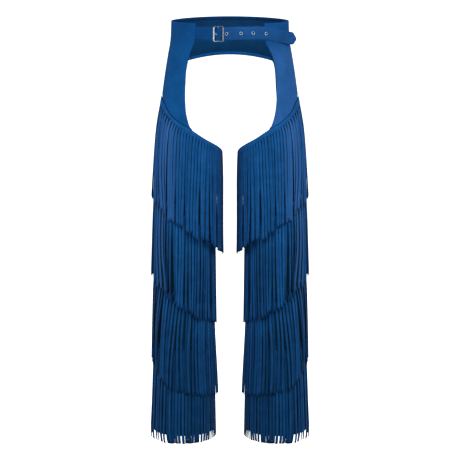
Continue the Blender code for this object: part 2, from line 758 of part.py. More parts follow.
def make_tab():
    """The tab is folded round the centre bar and sewn inside the left front panel. A slot in its
    fold lets the prong turn."""
    start, end = TAB_FOLD
    turns = [start + (end - start) * step / TAB_FOLD_STEPS for step in range(TAB_FOLD_STEPS + 1)]
    loop = round_the_bar(TAB_LOOP, turns + [TAB_THROAT])
    eye = round_the_bar(TAB_EYE, [360.0 * step / TAB_EYE_STEPS for step in range(TAB_EYE_STEPS)])
    start = BUCKLE_AT + TAB_START
    outs = [start + (TAB_END - start) * step / TAB_STEPS for step in range(TAB_STEPS + 1)]
    inner = [(out, TAB_OFFSET - TAB_WALL / 2) for out in outs]
    outer = [(out, TAB_OFFSET + TAB_WALL / 2) for out in reversed(outs)]
    outlines = []
    for fold, band in ((loop, inner + outer), (eye, [])):
        points = [waist_point(out, offset, strap_level(BUCKLE_AT))[0] for out, offset in fold]
        points += [waist_point(out, offset, LEVEL_INSIDE)[0] for out, offset in band]
        outlines.append([(point.x, point.y) for point in points])
    bm = filled_outline("tab_plate", outlines, TAB_HEIGHT / 2, 0.0)
    middle = smooth_read(STRAP_DROP, 1, BUCKLE_AT)
    bmesh.ops.translate(bm, verts=bm.verts, vec=(0.0, 0.0, middle))
    tab = add_object("buckle_tab", bm, "strap")
    bm = bmesh.new()
    bmesh.ops.create_cube(bm, size=1.0)
    bmesh.ops.scale(bm, verts=bm.verts, vec=(SLOT_LENGTH, SLOT_DEPTH, SLOT_HEIGHT))
    bmesh.ops.translate(bm, verts=bm.verts, vec=(0.0, SLOT_SHIFT, 0.0))
    bmesh.ops.transform(bm, matrix=buckle_place(), verts=bm.verts)
    punch(tab, bm, "prong_slot_cutter")


# ---------------------------------------------------------------------------

for old in list(bpy.data.objects):
    bpy.data.objects.remove(old, do_unlink=True)

PARTS = new_collection(NAME)
CUTTERS = new_collection(NAME + "_cutters")

make_yoke()
make_facings()
for side_label, side_sign in SIDES:
    make_hip_panels(side_label, side_sign)
    make_leg_panels(side_label, side_sign)
    make_fringe(side_label, side_sign)
belt = strap_line()
make_strap(belt)
make_eyelets(belt)
make_tab()
make_buckle()
make_prong()
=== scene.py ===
"""Fringed suede chaps, filled out as worn: yoke, hip and leg panels, four tiers of fringe a leg,
a punched strap and its centre-bar buckle. Metres. Z is up, the front faces -Y, +X is the wearer's
left, and Z = 0 is the middle of the strap at the front of the waist.
"""
import math
import random
from bisect import bisect_right

import bmesh
import bpy
from mathutils import Matrix, Vector


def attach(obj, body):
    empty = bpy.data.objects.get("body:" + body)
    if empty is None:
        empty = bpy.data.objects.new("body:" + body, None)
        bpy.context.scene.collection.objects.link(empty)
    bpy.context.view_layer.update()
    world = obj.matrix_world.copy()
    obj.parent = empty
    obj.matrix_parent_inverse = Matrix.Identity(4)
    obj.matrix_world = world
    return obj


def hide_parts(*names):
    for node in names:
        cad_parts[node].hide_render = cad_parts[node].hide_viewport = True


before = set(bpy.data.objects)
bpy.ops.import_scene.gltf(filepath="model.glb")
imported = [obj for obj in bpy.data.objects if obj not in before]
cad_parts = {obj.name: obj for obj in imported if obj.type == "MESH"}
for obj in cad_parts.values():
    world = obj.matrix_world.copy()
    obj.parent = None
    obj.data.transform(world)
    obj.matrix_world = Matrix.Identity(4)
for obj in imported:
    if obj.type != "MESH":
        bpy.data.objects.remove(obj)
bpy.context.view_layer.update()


# ---------------------------------------------------------------------------------------------
# Studio. The chaps hang in the air above a plain white floor. A dim room gives soft light, more of it
# from above, and large soft lamps near the waist and at both sides leave the hem in less light.

camera_data = bpy.data.cameras.new("camera")
camera_data.lens = 178.9
camera_data.sensor_width = 36.0
camera = bpy.data.objects.new("camera", camera_data)
camera.location = (0.0, -5.5, 0.48)
camera.rotation_euler = (math.radians(80.0), 0.0, 0.0)
bpy.context.scene.collection.objects.link(camera)
bpy.context.scene.camera = camera
bpy.context.scene.view_settings.view_transform = "Standard"

room = bpy.data.worlds.new("dim_room")
room.use_nodes = True
tree = room.node_tree
bearing = tree.nodes.new("ShaderNodeTexCoord")
parts = tree.nodes.new("ShaderNodeSeparateXYZ")
tree.links.new(bearing.outputs["Generated"], parts.inputs["Vector"])
glow = tree.nodes.new("ShaderNodeMapRange")
glow.inputs["From Min"].default_value = -1.0
glow.inputs["From Max"].default_value = 1.0
glow.inputs["To Min"].default_value = 0.02
glow.inputs["To Max"].default_value = 0.60
tree.links.new(parts.outputs["Z"], glow.inputs["Value"])
tree.links.new(glow.outputs["Result"], tree.nodes["Background"].inputs["Strength"])
tree.nodes["Background"].inputs["Color"].default_value = (1.0, 1.0, 1.0, 1.0)
bpy.context.scene.world = room


def soft_lamp(name, place, aim, size, watts):
    """A large square soft lamp that faces a point."""
    lamp_data = bpy.data.lights.new(name, "AREA")
    lamp_data.size = size
    lamp_data.energy = watts
    lamp = bpy.data.objects.new(name, lamp_data)
    lamp.location = place
    lamp.rotation_euler = (Vector(place) - Vector(aim)).to_track_quat("Z", "Y").to_euler()
    bpy.context.scene.collection.objects.link(lamp)


soft_lamp("main_lamp", (0.18, -1.60, 0.72), (0.0, 0.0, -0.25), 0.9, 19.5)
soft_lamp("left_side_lamp", (1.40, -0.95, 0.30), (0.0, 0.0, -0.35), 0.9, 16.0)
soft_lamp("right_side_lamp", (-1.40, -0.95, 0.30), (0.0, 0.0, -0.35), 0.9, 16.0)
soft_lamp("back_lamp", (0.3, 2.0, 0.9), (0.0, 0.0, -0.35), 1.4, 22.0)

FLOOR_HEIGHT = -1.16
bm = bmesh.new()
bmesh.ops.create_grid(bm, x_segments=1, y_segments=1, size=30.0)
bmesh.ops.translate(bm, verts=bm.verts, vec=(0.0, 0.0, FLOOR_HEIGHT))
floor_mesh = bpy.data.meshes.new("floor")
bm.to_mesh(floor_mesh)
bm.free()
floor = bpy.data.objects.new("floor", floor_mesh)
floor_paint = bpy.data.materials.new("white_floor")
floor_paint.use_nodes = True
floor_shader = floor_paint.node_tree.nodes["Principled BSDF"]
floor_shader.inputs["Base Color"].default_value = (0.9, 0.9, 0.9, 1.0)
floor_shader.inputs["Roughness"].default_value = 1.0
floor_shader.inputs["Specular IOR Level"].default_value = 0.0
floor_shader.inputs["Emission Color"].default_value = (1.0, 1.0, 1.0, 1.0)
floor_shader.inputs["Emission Strength"].default_value = 1.0
floor_mesh.materials.append(floor_paint)
bpy.context.scene.collection.objects.link(floor)
floor.visible_diffuse = False


# ---------------------------------------------------------------------------------------------
# Back yoke. One piece of suede goes round the back of the waist from side seam to side seam, with
# the rough flesh side inwards. Its top and its lower edge are topstitched.

# The worn form that all panels lie on: an ellipse at the waist that parts into one for each leg.
FORM = (
    # height, centre, reach, half_depth
    (0.026, 0.0000, 0.1412, 0.1010),
    (-0.020, 0.0000, 0.1432, 0.1015),
    (-0.060, 0.0000, 0.1497, 0.1030),
    (-0.100, 0.0000, 0.1563, 0.1050),
    (-0.160, 0.0410, 0.1645, 0.1040),
    (-0.220, 0.0780, 0.1720, 0.0990),
    (-0.260, 0.0930, 0.1755, 0.0955),
    (-0.300, 0.0990, 0.1780, 0.0920),
    (-0.360, 0.1046, 0.1805, 0.0880),
    (-0.420, 0.1082, 0.1820, 0.0850),
    (-0.480, 0.1108, 0.1830, 0.0825),
    (-0.600, 0.1128, 0.1840, 0.0795),
    (-0.800, 0.1135, 0.1850, 0.0770),
    (-1.000, 0.1155, 0.1885, 0.0760),
)
SUEDE = 0.0013             # thickness
SEAM_GAP = 0.0003
BUTT = 0.00001             # between the edges of two panels that are sewn together
WAIST_TOP = 0.0215
BACK_RISE = 0.0025
YOKE_DEPTH = 0.0915
YOKE_CURVE = 1.15
YOKE_REACH = 0.1535
YOKE_CORNER = 0.104
RADIAN_RUN = 0.125         # length along the cloth for each radian round the waist


def smooth(table, column):
    """Reads a table's column by its first one, along a smooth curve that never overshoots."""
    rows = sorted(table)
    keys = [row[0] for row in rows]
    values = [row[column] for row in rows]
    steps = [(values[i + 1] - values[i]) / (keys[i + 1] - keys[i]) for i in range(len(keys) - 1)]
    slopes = [steps[0]]
    for before, after in zip(steps, steps[1:]):
        same_way = before * after > 0.0
        slopes.append(2.0 * before * after / (before + after) if same_way else 0.0)
    slopes.append(steps[-1])

    def read(key):
        key = min(max(key, keys[0]), keys[-1])
        i = min(bisect_right(keys, key) - 1, len(keys) - 2)
        width = keys[i + 1] - keys[i]
        t = (key - keys[i]) / width
        start = values[i] * (1 + 2 * t) * (1 - t) ** 2 + slopes[i] * width * t * (1 - t) ** 2
        end = values[i + 1] * t * t * (3 - 2 * t) - slopes[i + 1] * width * t * t * (1 - t)
        return start + end

    return read


form_centre, form_reach, form_depth = (smooth(FORM, column) for column in (1, 2, 3))


def on_form(angle, height, out, front):
    """A point on the wearer's left side. The angle runs from the outer side (0) over the front
    (front=1) or the back (front=-1) to the inner side (pi)."""
    centre = form_centre(height)
    half_width = form_reach(height) - centre
    half_depth = form_depth(height)
    across = math.cos(angle)
    along = -front * math.sin(angle)
    normal = Vector((across / half_width, along / half_depth, 0.0)).normalized()
    return Vector((centre + half_width * across, half_depth * along, height)) + normal * out


def yoke_top(angle):
    """Height of the yoke's upper edge, which rises a little towards the middle of the back."""
    return WAIST_TOP + BACK_RISE * math.sin(angle) ** 2


def yoke_bottom(angle):
    """Height of its lower edge, which curves down towards both sides."""
    return WAIST_TOP - YOKE_DEPTH - YOKE_CURVE * (YOKE_REACH * math.cos(angle)) ** 2


def suede(name, nap_down, nap_up, sheen, nap_scale=1.0):
    """Napped suede: soft patches where the nap lies up or down, and a fine fibrous surface."""
    made = bpy.data.materials.new(name)
    made.use_nodes = True
    tree = made.node_tree
    shader = tree.nodes["Principled BSDF"]
    shader.inputs["Roughness"].default_value = 0.95
    shader.inputs["Specular IOR Level"].default_value = 0.02
    shader.inputs["Sheen Weight"].default_value = sheen
    shader.inputs["Sheen Roughness"].default_value = 0.40
    shader.inputs["Sheen Tint"].default_value = (0.16, 0.36, 1.0, 1.0)
    place = tree.nodes.new("ShaderNodeTexCoord")
    patches = tree.nodes.new("ShaderNodeTexNoise")
    patches.inputs["Scale"].default_value = 26.0 * nap_scale
    patches.inputs["Detail"].default_value = 5.0
    patches.inputs["Roughness"].default_value = 0.62
    tree.links.new(place.outputs["Object"], patches.inputs["Vector"])
    nap = tree.nodes.new("ShaderNodeTexNoise")
    nap.inputs["Scale"].default_value = 900.0
    nap.inputs["Detail"].default_value = 3.0
    tree.links.new(place.outputs["Object"], nap.inputs["Vector"])
    lay = tree.nodes.new("ShaderNodeValToRGB")
    lay.color_ramp.elements[0].position = 0.36
    lay.color_ramp.elements[0].color = (*nap_down, 1.0)
    lay.color_ramp.elements[1].position = 0.64
    lay.color_ramp.elements[1].color = (*nap_up, 1.0)
    tree.links.new(patches.outputs["Fac"], lay.inputs["Fac"])
    fibre = tree.nodes.new("ShaderNodeMapRange")
    fibre.inputs["From Min"].default_value = 0.3
    fibre.inputs["From Max"].default_value = 0.7
    fibre.inputs["To Min"].default_value = 0.78
    fibre.inputs["To Max"].default_value = 1.18
    tree.links.new(nap.outputs["Fac"], fibre.inputs["Value"])
    tint = tree.nodes.new("ShaderNodeMix")
    tint.data_type = "RGBA"
    tint.blend_type = "MULTIPLY"
    tint.inputs["Factor"].default_value = 1.0
    tree.links.new(lay.outputs["Color"], tint.inputs["A"])
    tree.links.new(fibre.outputs["Result"], tint.inputs["B"])
    tree.links.new(tint.outputs["Result"], shader.inputs["Base Color"])
    rough = tree.nodes.new("ShaderNodeBump")
    rough.inputs["Strength"].default_value = 0.35
    rough.inputs["Distance"].default_value = 0.0005
    tree.links.new(nap.outputs["Fac"], rough.inputs["Height"])
    hide = tree.nodes.new("ShaderNodeBump")
    hide.inputs["Strength"].default_value = 0.25
    hide.inputs["Distance"].default_value = 0.004
    tree.links.new(patches.outputs["Fac"], hide.inputs["Height"])
    tree.links.new(rough.outputs["Normal"], hide.inputs["Normal"])
    tree.links.new(hide.outputs["Normal"], shader.inputs["Normal"])
    return made


suede_face = suede("blue_suede", (0.0033, 0.055, 0.182), (0.0051, 0.069, 0.227), 0.09)
suede_flesh = suede("blue_suede_flesh_side", (0.0050, 0.051, 0.148), (0.0068, 0.063, 0.180), 0.05)


def painted_shade_fade(finish, axis, start, end, tint):
    """A darkening tint that fades out along an axis: painted shade, and on the buckle's plate painted
    dark reflections.
    """
    tree = finish.node_tree
    shader = tree.nodes["Principled BSDF"]
    colour = shader.inputs["Base Color"].links[0].from_socket
    place = tree.nodes.new("ShaderNodeTexCoord")
    parts = tree.nodes.new("ShaderNodeSeparateXYZ")
    tree.links.new(place.outputs["Object"], parts.inputs["Vector"])
    fade = tree.nodes.new("ShaderNodeMapRange")
    fade.interpolation_type = "SMOOTHSTEP"
    fade.inputs["From Min"].default_value = start
    fade.inputs["From Max"].default_value = end
    tree.links.new(parts.outputs[axis], fade.inputs["Value"])
    amount = tree.nodes.new("ShaderNodeMix")
    amount.data_type = "RGBA"
    amount.inputs["A"].default_value = (*tint, 1.0)
    amount.inputs["B"].default_value = (1.0, 1.0, 1.0, 1.0)
    tree.links.new(fade.outputs["Result"], amount.inputs["Factor"])
    tone_and_painted_shade = tree.nodes.new("ShaderNodeMix")
    tone_and_painted_shade.data_type = "RGBA"
    tone_and_painted_shade.blend_type = "MULTIPLY"
    tone_and_painted_shade.inputs["Factor"].default_value = 1.0
    tree.links.new(colour, tone_and_painted_shade.inputs["A"])
    tree.links.new(amount.outputs["Result"], tone_and_painted_shade.inputs["B"])
    tree.links.new(tone_and_painted_shade.outputs["Result"], shader.inputs["Base Color"])


# Painted shade: the suede is darker near the top of the waist, fading out by 95 mm below the strap's
# middle.
painted_shade_fade(suede_face, "Z", -0.005, -0.095, (0.80, 0.84, 0.86))


def new_piece(name, bm, materials):
    """Make a finished bmesh a piece of the chaps."""
    mesh = bpy.data.meshes.new(name)
    bm.to_mesh(mesh)
    bm.free()
    for finish in materials:
        mesh.materials.append(finish)
    mesh.shade_smooth()
    piece = bpy.data.objects.new(name, mesh)
    bpy.context.scene.collection.objects.link(piece)
    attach(piece, "root")
    return piece


def cloth(name, columns, rows, place, materials, thickness=SUEDE, side=1.0):
    """A panel: a flat grid laid on the form, with the cloth's thickness added on its inside. place
    gives the point at a share of the way across and down."""
    bm = bmesh.new()
    grid = bmesh.ops.create_grid(bm, x_segments=columns, y_segments=rows, size=0.5)["verts"]
    for vert in grid:
        point = place(vert.co.x + 0.5, 0.5 - vert.co.y)
        vert.co = (point.x * side, point.y, point.z)
    bm.normal_update()
    bm.faces.ensure_lookup_table()
    middle = bm.faces[len(bm.faces) // 2]
    point = middle.calc_center_median()
    inside = Vector((form_centre(point.z) * side, 0.0, point.z))
    if middle.normal.dot(point - inside) < 0.0:
        bmesh.ops.reverse_faces(bm, faces=bm.faces)
    piece = new_piece(name, bm, materials)
    wall = piece.modifiers.new("wall", "SOLIDIFY")
    wall.thickness = thickness
    wall.offset = -1.0
    wall.material_offset = len(materials) - 1
    return piece


FOLD_ENDS = 0.35           # the share of a fold's rise that is left at its ends


def soft_folds(folds, along, height):
    """How far shallow folds lift (or sink) the cloth at a place. Each is a line with soft sides."""
    lift = 0.0
    for start_along, start_height, end_along, end_height, width, rise in folds:
        run = end_along - start_along
        drop = end_height - start_height
        share = ((along - start_along) * run + (height - start_height) * drop) / (run * run + drop * drop)
        share = min(max(share, 0.0), 1.0)
        away = math.hypot(along - start_along - run * share, height - start_height - drop * share)
        lift += rise * math.exp(-((away / width) ** 2)) * (
            FOLD_ENDS + (1.0 - FOLD_ENDS) * math.sin(math.pi * share))
    return lift


# Folds lie where the cloth bends at the sides and over the small of the back.
YOKE_FOLDS = (
    # start along, height, end along, height, width, rise
    (-0.11, 0.005, -0.09, -0.100, 0.014, -0.0012),
    (-0.05, 0.010, -0.03, -0.065, 0.016, 0.0010),
    (0.04, 0.012, 0.05, -0.070, 0.013, -0.0010),
    (0.10, 0.006, 0.12, -0.095, 0.016, 0.0012),
    (0.16, -0.010, 0.02, -0.045, 0.010, -0.0007),
    (-0.17, -0.020, -0.02, -0.050, 0.011, -0.0006),
)


SEAM_DIP = 0.0007          # how far a panel sinks at a sewn seam
SEAM_DIP_WIDTH = 0.003
FOLD_FADE = 0.016          # folds die out this far from a seam, which holds the cloth flat
LAP = 0.0030               # how far a panel's edge goes up behind the panel above
LAP_SINK = SEAM_DIP + SUEDE + 0.0002
LAP_STEP = 0.0040          # a panel sinks behind the one above over this height
LAP_CORNER = 0.007         # the lap runs out over this length at the side seam


def ease(share):
    """A share from 0 to 1, with a soft start and end."""
    share = min(max(share, 0.0), 1.0)
    return share * share * (3 - 2 * share)


def yoke_point(angle, down):
    """A point of the yoke's outer face, at a share of the way down."""
    height = yoke_top(angle) + (yoke_bottom(angle) - yoke_top(angle)) * down
    along = (angle - math.pi / 2) * RADIAN_RUN
    near = height - yoke_bottom(angle)
    out = soft_folds(YOKE_FOLDS, along, height) * ease(near / FOLD_FADE)
    out -= SEAM_DIP * math.exp(-((near / SEAM_DIP_WIDTH) ** 2))
    return on_form(angle, height, out, -1.0)


# Painted shade: the yoke's flesh side is darker above the strap's middle, fading out by 25 mm below it.
suede_yoke_inside = suede("blue_suede_yoke_inside", (0.0050, 0.051, 0.148), (0.0068, 0.063, 0.180), 0.05)
painted_shade_fade(suede_yoke_inside, "Z", 0.012, -0.025, (0.69, 0.54, 0.56))

yoke_start = BUTT / 2 / form_depth(0.0)
yoke_sweep = math.pi - 2 * yoke_start
yoke = cloth("yoke", 120, 26, lambda across, down: yoke_point(yoke_start + yoke_sweep * across, down),
             (suede_face, suede_yoke_inside))
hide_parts("back_yoke")


THREAD = 0.00032           # half its thickness
STITCH = 0.0026
STITCH_PITCH = 0.0040

thread_finish = suede("blue_thread", (0.0045, 0.060, 0.20), (0.010, 0.095, 0.30), 0.12)
thread_finish.node_tree.nodes["Principled BSDF"].inputs["Roughness"].default_value = 0.55


def stitching(name, lines):
    """Topstitching along lines of points on the cloth, one small rounded stitch after another."""
    bm = bmesh.new()
    for line in lines:
        gone = 0.0
        due = STITCH_PITCH / 2
        for start, end in zip(line, line[1:]):
            length = (end - start).length
            while due <= gone + length:
                middle = start.lerp(end, (due - gone) / length)
                turn = (end - start).to_track_quat("Z", "X").to_matrix().to_4x4()
                shape = Matrix.Diagonal((THREAD, THREAD, STITCH / 2, 1.0))
                bmesh.ops.create_icosphere(bm, subdivisions=1, radius=1.0,
                                           matrix=Matrix.Translation(middle) @ turn @ shape)
                due += STITCH_PITCH
            gone += length
    piece = new_piece(name, bm, (thread_finish,))
    return piece


def steps(start, end, count):
    """Evenly spaced values with both ends."""
    return [start + (end - start) * i / count for i in range(count + 1)]


EDGE_TO_STITCH = 0.006
ON_FACE = THREAD * 0.3


def lifted(point, side=1.0):
    """A point of a panel's outer face moved out to where thread lies on it, and to its side."""
    centre = Vector((form_centre(point.z), 0.0, point.z))
    out = (point - centre).normalized() * ON_FACE
    return Vector(((point.x + out.x) * side, point.y + out.y, point.z))


yoke_lines = []
for from_top, from_bottom in ((EDGE_TO_STITCH, None), (None, EDGE_TO_STITCH)):
    line = []
    for angle in steps(yoke_start, math.pi - yoke_start, 240):
        deep = yoke_top(angle) - yoke_bottom(angle)
        down = from_top / deep if from_top else 1.0 - from_bottom / deep
        line.append(lifted(yoke_point(angle, down)))
    yoke_lines.append(line)
yoke_stitching = stitching("yoke_stitching", yoke_lines)


# ---------------------------------------------------------------------------------------------
# Yoke facings. Two narrow strips of the same suede, smooth side out, are stitched inside the yoke's
# top edge and inside the free part of its lower edge, so they show through the open front.

FACING_WIDTH = 0.0070
FACING = 0.0010            # thickness
FACING_CROWN = 0.0006      # how far its middle stands up
FACING_END = math.radians(15.0)    # where the upper one stops, from the side seam
corner_angle = math.acos(YOKE_CORNER / YOKE_REACH)

# Painted light and shade: the facing is about twice as light as the suede, so the lower strip reads light
# in the shade inside the yoke, and the upper strip is painted much darker, as painted shade.
suede_facing = suede("blue_suede_facing", (0.0056, 0.113, 0.391), (0.0087, 0.141, 0.488), 0.09)
painted_shade_fade(suede_facing, "Z", -0.005, -0.060, (0.32, 0.22, 0.223))


def facing(edge, start, end):
    """The strip inside the yoke's top or bottom edge, from one angle to another."""
    def place(across, down):
        angle = start + (end - start) * across
        upper = yoke_top(angle) if edge == "top" else yoke_bottom(angle) + FACING_WIDTH
        height = upper - FACING_WIDTH * down
        fold = soft_folds(YOKE_FOLDS, (angle - math.pi / 2) * RADIAN_RUN, height)
        crown = -FACING_CROWN * math.sin(math.pi * down)
        return on_form(angle, height, fold - SUEDE - SEAM_GAP + crown, -1.0)

    strip = cloth(f"yoke_{edge}_facing_strip", 120, 4, place, (suede_facing,), FACING)
    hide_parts(f"yoke_{edge}_facing")


facing("top", FACING_END, math.pi - FACING_END)
facing("bottom", corner_angle, math.pi - corner_angle)


# ---------------------------------------------------------------------------------------------
# Hip panels. A front and a back piece of suede on each side, seamed at the outer side. The free
# edges beside the front and the seat opening are turned in and topstitched.

FRONT_EDGE = (
    # height, out on the right, out on the left
    (0.0240, 0.0830, 0.0830),
    (0.0000, 0.0825, 0.0825),
    (-0.0200, 0.0840, 0.0842),
    (-0.0410, 0.0925, 0.0940),
    (-0.0645, 0.1000, 0.1040),
    (-0.0920, 0.1045, 0.1092),
    (-0.1500, 0.1078, 0.1122),
    (-0.1790, 0.1064, 0.1100),
    (-0.2170, 0.0984, 0.1005),
    (-0.2400, 0.0850, 0.0870),
)
BACK_EDGE = (
    # height, out on the right, out on the left
    (-0.0800, 0.1035, 0.1035),
    (-0.0950, 0.1085, 0.1085),
    (-0.1200, 0.1125, 0.1125),
    (-0.1800, 0.1155, 0.1155),
    (-0.2280, 0.1105, 0.1105),
    (-0.2540, 0.1000, 0.1000),
    (-0.2800, 0.0800, 0.0800),
)
# The lines that the fringe is sewn along, by the angle round the leg from its outer side.
TIER_SEAMS = (
    # angle, first, second, third, fourth
    (0.0, -0.158, -0.353, -0.558, -0.759),
    (20.0, -0.171, -0.367, -0.571, -0.759),
    (40.0, -0.195, -0.382, -0.590, -0.760),
    (60.0, -0.2135, -0.402, -0.609, -0.761),
    (85.0, -0.2315, -0.424, -0.634, -0.761),
    (113.0, -0.254, -0.449, -0.643, -0.760),
    (150.0, -0.2795, -0.465, -0.650, -0.758),
    (180.0, -0.300, -0.4754, -0.654, -0.757),
)
SEAT_DROP = 0.030
ABOVE_CORNERS = -0.16      # a height at which the free edges haven't yet met the first seam
seam_readers = [smooth(TIER_SEAMS, column) for column in (1, 2, 3, 4)]
edge_readers = {}
for side, column in ((-1.0, 1), (1.0, 2)):
    edge_readers[1.0, side] = smooth(FRONT_EDGE, column)
    edge_readers[-1.0, side] = smooth(BACK_EDGE, column)


def tier_seam(tier, angle, front):
    """Height of the line that a tier is sewn along. The first one lies lower at the back."""
    height = seam_readers[tier](math.degrees(angle))
    if tier == 0 and front < 0:
        height -= SEAT_DROP * math.sin(angle)
    return height


def edge_angle(front, side, height):
    """The angle round the hip at which a free edge lies."""
    centre = form_centre(height)
    return math.acos((edge_readers[front, side](height) - centre) / (form_reach(height) - centre))


def hip_corner(front, side):
    """Angle and height at which a free edge comes down to the first seam."""
    high = ABOVE_CORNERS
    low = FRONT_EDGE[-1][0] if front > 0 else BACK_EDGE[-1][0]
    for _ in range(40):
        middle = (high + low) / 2
        if middle > tier_seam(0, edge_angle(front, side, middle), front):
            high = middle
        else:
            low = middle
    return edge_angle(front, side, high), high


HIP_FOLDS = {
    1.0: (
        # start along, height, end along, height, width, rise
        (0.165, -0.030, 0.060, -0.110, 0.012, -0.0013),
        (0.150, -0.060, 0.030, -0.150, 0.014, 0.0012),
        (0.105, 0.010, 0.085, -0.120, 0.018, 0.0010),
        (0.020, -0.030, 0.040, -0.160, 0.015, -0.0014),
        (0.130, -0.200, 0.070, -0.120, 0.014, -0.0012),
    ),
    -1.0: (
        (0.020, -0.020, 0.050, -0.150, 0.016, -0.0014),
        (0.070, -0.090, 0.060, -0.200, 0.015, 0.0013),
        (0.130, -0.110, 0.080, -0.210, 0.012, -0.0012),
    ),
}
EDGE_ROLL = 0.0016         # how far a turned free edge rolls in
EDGE_ROLL_WIDTH = 0.005
SIDE_STITCHING = 0.03      # the share of the way across at which the side seam is topstitched,
STITCHED_TO = 0.995        # and the share of the way down at which that stops
seam_angle = BUTT / form_depth(0.026)
# Painted light: the left front panel is a lighter, redder copy of the suede, as if lit more from that
# side, with painted shade darkening it towards its top.
suede_painted_lit = suede("blue_suede_painted_lit", (0.0140, 0.074, 0.225), (0.0185, 0.090, 0.272), 0.10)
painted_shade_fade(suede_painted_lit, "Z", -0.012, -0.060, (0.30, 0.68, 0.74))


def hip_panel(side_name, side, front, name):
    """A front or back hip panel and its topstitching."""
    corner, corner_height = hip_corner(front, side)
    edge_top = WAIST_TOP
    if front < 0:
        edge_top = yoke_bottom(corner_angle) - BUTT

    def panel_top(low_angle):
        """Height of the panel's upper edge, by the angle at which a column of its mesh ends."""
        if front > 0:
            return WAIST_TOP
        return yoke_bottom(low_angle * edge_angle(front, side, edge_top) / corner) - BUTT

    def place(across, down):
        low_angle = seam_angle / 2 + (corner - seam_angle / 2) * across
        edge_height = edge_top + (corner_height - edge_top) * down
        angle = low_angle * edge_angle(front, side, edge_height) / corner
        top = panel_top(low_angle)
        bottom = tier_seam(0, low_angle, front) + BUTT / 2
        along = angle * RADIAN_RUN
        lapped = ease(along / LAP_CORNER) if front < 0 else 0.0
        height = top + LAP * lapped + (bottom - top - LAP * lapped) * down
        seams = [along, height - bottom]
        fade = min(seams) if front > 0 else min(*seams, max(top - height, 0.0))
        out = soft_folds(HIP_FOLDS[front], along, height) * ease(fade / FOLD_FADE)
        out -= LAP_SINK * lapped * ease((height - top) / LAP_STEP + 1.0)
        to_edge = edge_angle(front, side, edge_height) * RADIAN_RUN - along
        out -= EDGE_ROLL * math.exp(-((to_edge / EDGE_ROLL_WIDTH) ** 2) * 2.0)
        for near in seams:
            out -= SEAM_DIP * math.exp(-((near / SEAM_DIP_WIDTH) ** 2))
        return on_form(angle, height, out, front)

    finish = suede_painted_lit if side > 0 and front > 0 else suede_face
    panel = cloth(f"{name}_hip_{side_name}_panel", 56, 84, place, (finish, suede_flesh), side=side)
    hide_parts(f"{name}_hip_{side_name}")
    rim = 1.0 - EDGE_TO_STITCH / (corner * RADIAN_RUN)
    shares = steps(0.0, STITCHED_TO, 160)
    lines = [[lifted(place(rim, down), side) for down in shares]]
    lines.append([lifted(place(SIDE_STITCHING, down), side) for down in shares])
    if front > 0:
        below = EDGE_TO_STITCH / (WAIST_TOP - corner_height)
        lines.append([lifted(place(across, below), side) for across in steps(SIDE_STITCHING, rim, 80)])
    seams = stitching(f"{name}_hip_{side_name}_stitching", lines)
    return panel, seams


for side_name, side in (("left", 1.0), ("right", -1.0)):
    panel, seams = hip_panel(side_name, side, 1.0, "front")
    panel, seams = hip_panel(side_name, side, -1.0, "back")


# ---------------------------------------------------------------------------------------------
# Leg panels. A front and a back piece of suede, seamed at the outer and the inner side into a tube
# from the hip down to a raw hem. Almost all of it lies under the fringe.

HEM = -0.989
LAP_FADE = 0.06            # the lap behind the hip panel runs out over this angle at its corner
ROW_CROWDING = 1.6         # rows of the mesh lie closer together near the top
LEG_PANEL_WIDTH = 0.265
LEG_FOLD_MOST = 0.0006     # ridges stay this low, because fringe lies on them
HEM_STITCHING = 0.992      # the share of the way down at which the hem is stitched,
HEM_STITCHING_ENDS = (0.01, 0.99)      # and of the way across at which that starts and stops
LEG_FOLDS = (
    # start along, height, end along, height, width, rise
    (0.03, -0.30, 0.08, -0.48, 0.018, -0.0020),
    (0.17, -0.34, 0.20, -0.52, 0.016, -0.0022),
    (0.22, -0.42, 0.08, -0.53, 0.014, -0.0020),
    (0.05, -0.52, 0.14, -0.60, 0.013, -0.0018),
    (0.12, -0.62, 0.10, -0.85, 0.020, 0.0016),
    (0.19, -0.70, 0.17, -0.98, 0.017, -0.0020),
    (0.05, -0.74, 0.06, -0.98, 0.018, -0.0018),
)


# Painted shade: the leg panels under the fringe are a dark teal suede, standing in for the shade in the
# gaps between the strands.
suede_under_painted_shade = suede("blue_suede_painted_shade_under_fringe", (0.0040, 0.022, 0.040), (0.0056, 0.031, 0.058), 0.02)


def leg_panel(side_name, side, front, name):
    """A front or back leg panel with the stitching of its hem."""
    corner = hip_corner(front, side)[0]

    def place(across, down):
        angle = seam_angle / 2 + (math.pi - seam_angle) * across
        seam = tier_seam(0, angle, front)
        under_hip = ease((corner - angle) / LAP_FADE)
        top = seam + LAP * under_hip
        height = top + (HEM - top) * down ** ROW_CROWDING
        along = across * LEG_PANEL_WIDTH
        seams = (along, LEG_PANEL_WIDTH - along)
        fade = min(*seams, max(seam - height, 0.0))
        out = min(soft_folds(LEG_FOLDS, along, height), LEG_FOLD_MOST) * ease(fade / FOLD_FADE)
        for near in seams:
            out -= SEAM_DIP * math.exp(-((near / SEAM_DIP_WIDTH) ** 2))
        out -= LAP_SINK * under_hip * ease((height - seam) / LAP_STEP + 1.0)
        return on_form(angle, height, out, front)

    panel = cloth(f"{name}_leg_{side_name}_panel", 54, 120, place, (suede_under_painted_shade, suede_flesh), side=side)
    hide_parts(f"{name}_leg_{side_name}")
    hem = [lifted(place(across, HEM_STITCHING), side) for across in steps(*HEM_STITCHING_ENDS, 120)]
    seams = stitching(f"{name}_leg_{side_name}_hem_stitching", [hem])


for side_name, side in (("left", 1.0), ("right", -1.0)):
    leg_panel(side_name, side, 1.0, "front")
    leg_panel(side_name, side, -1.0, "back")


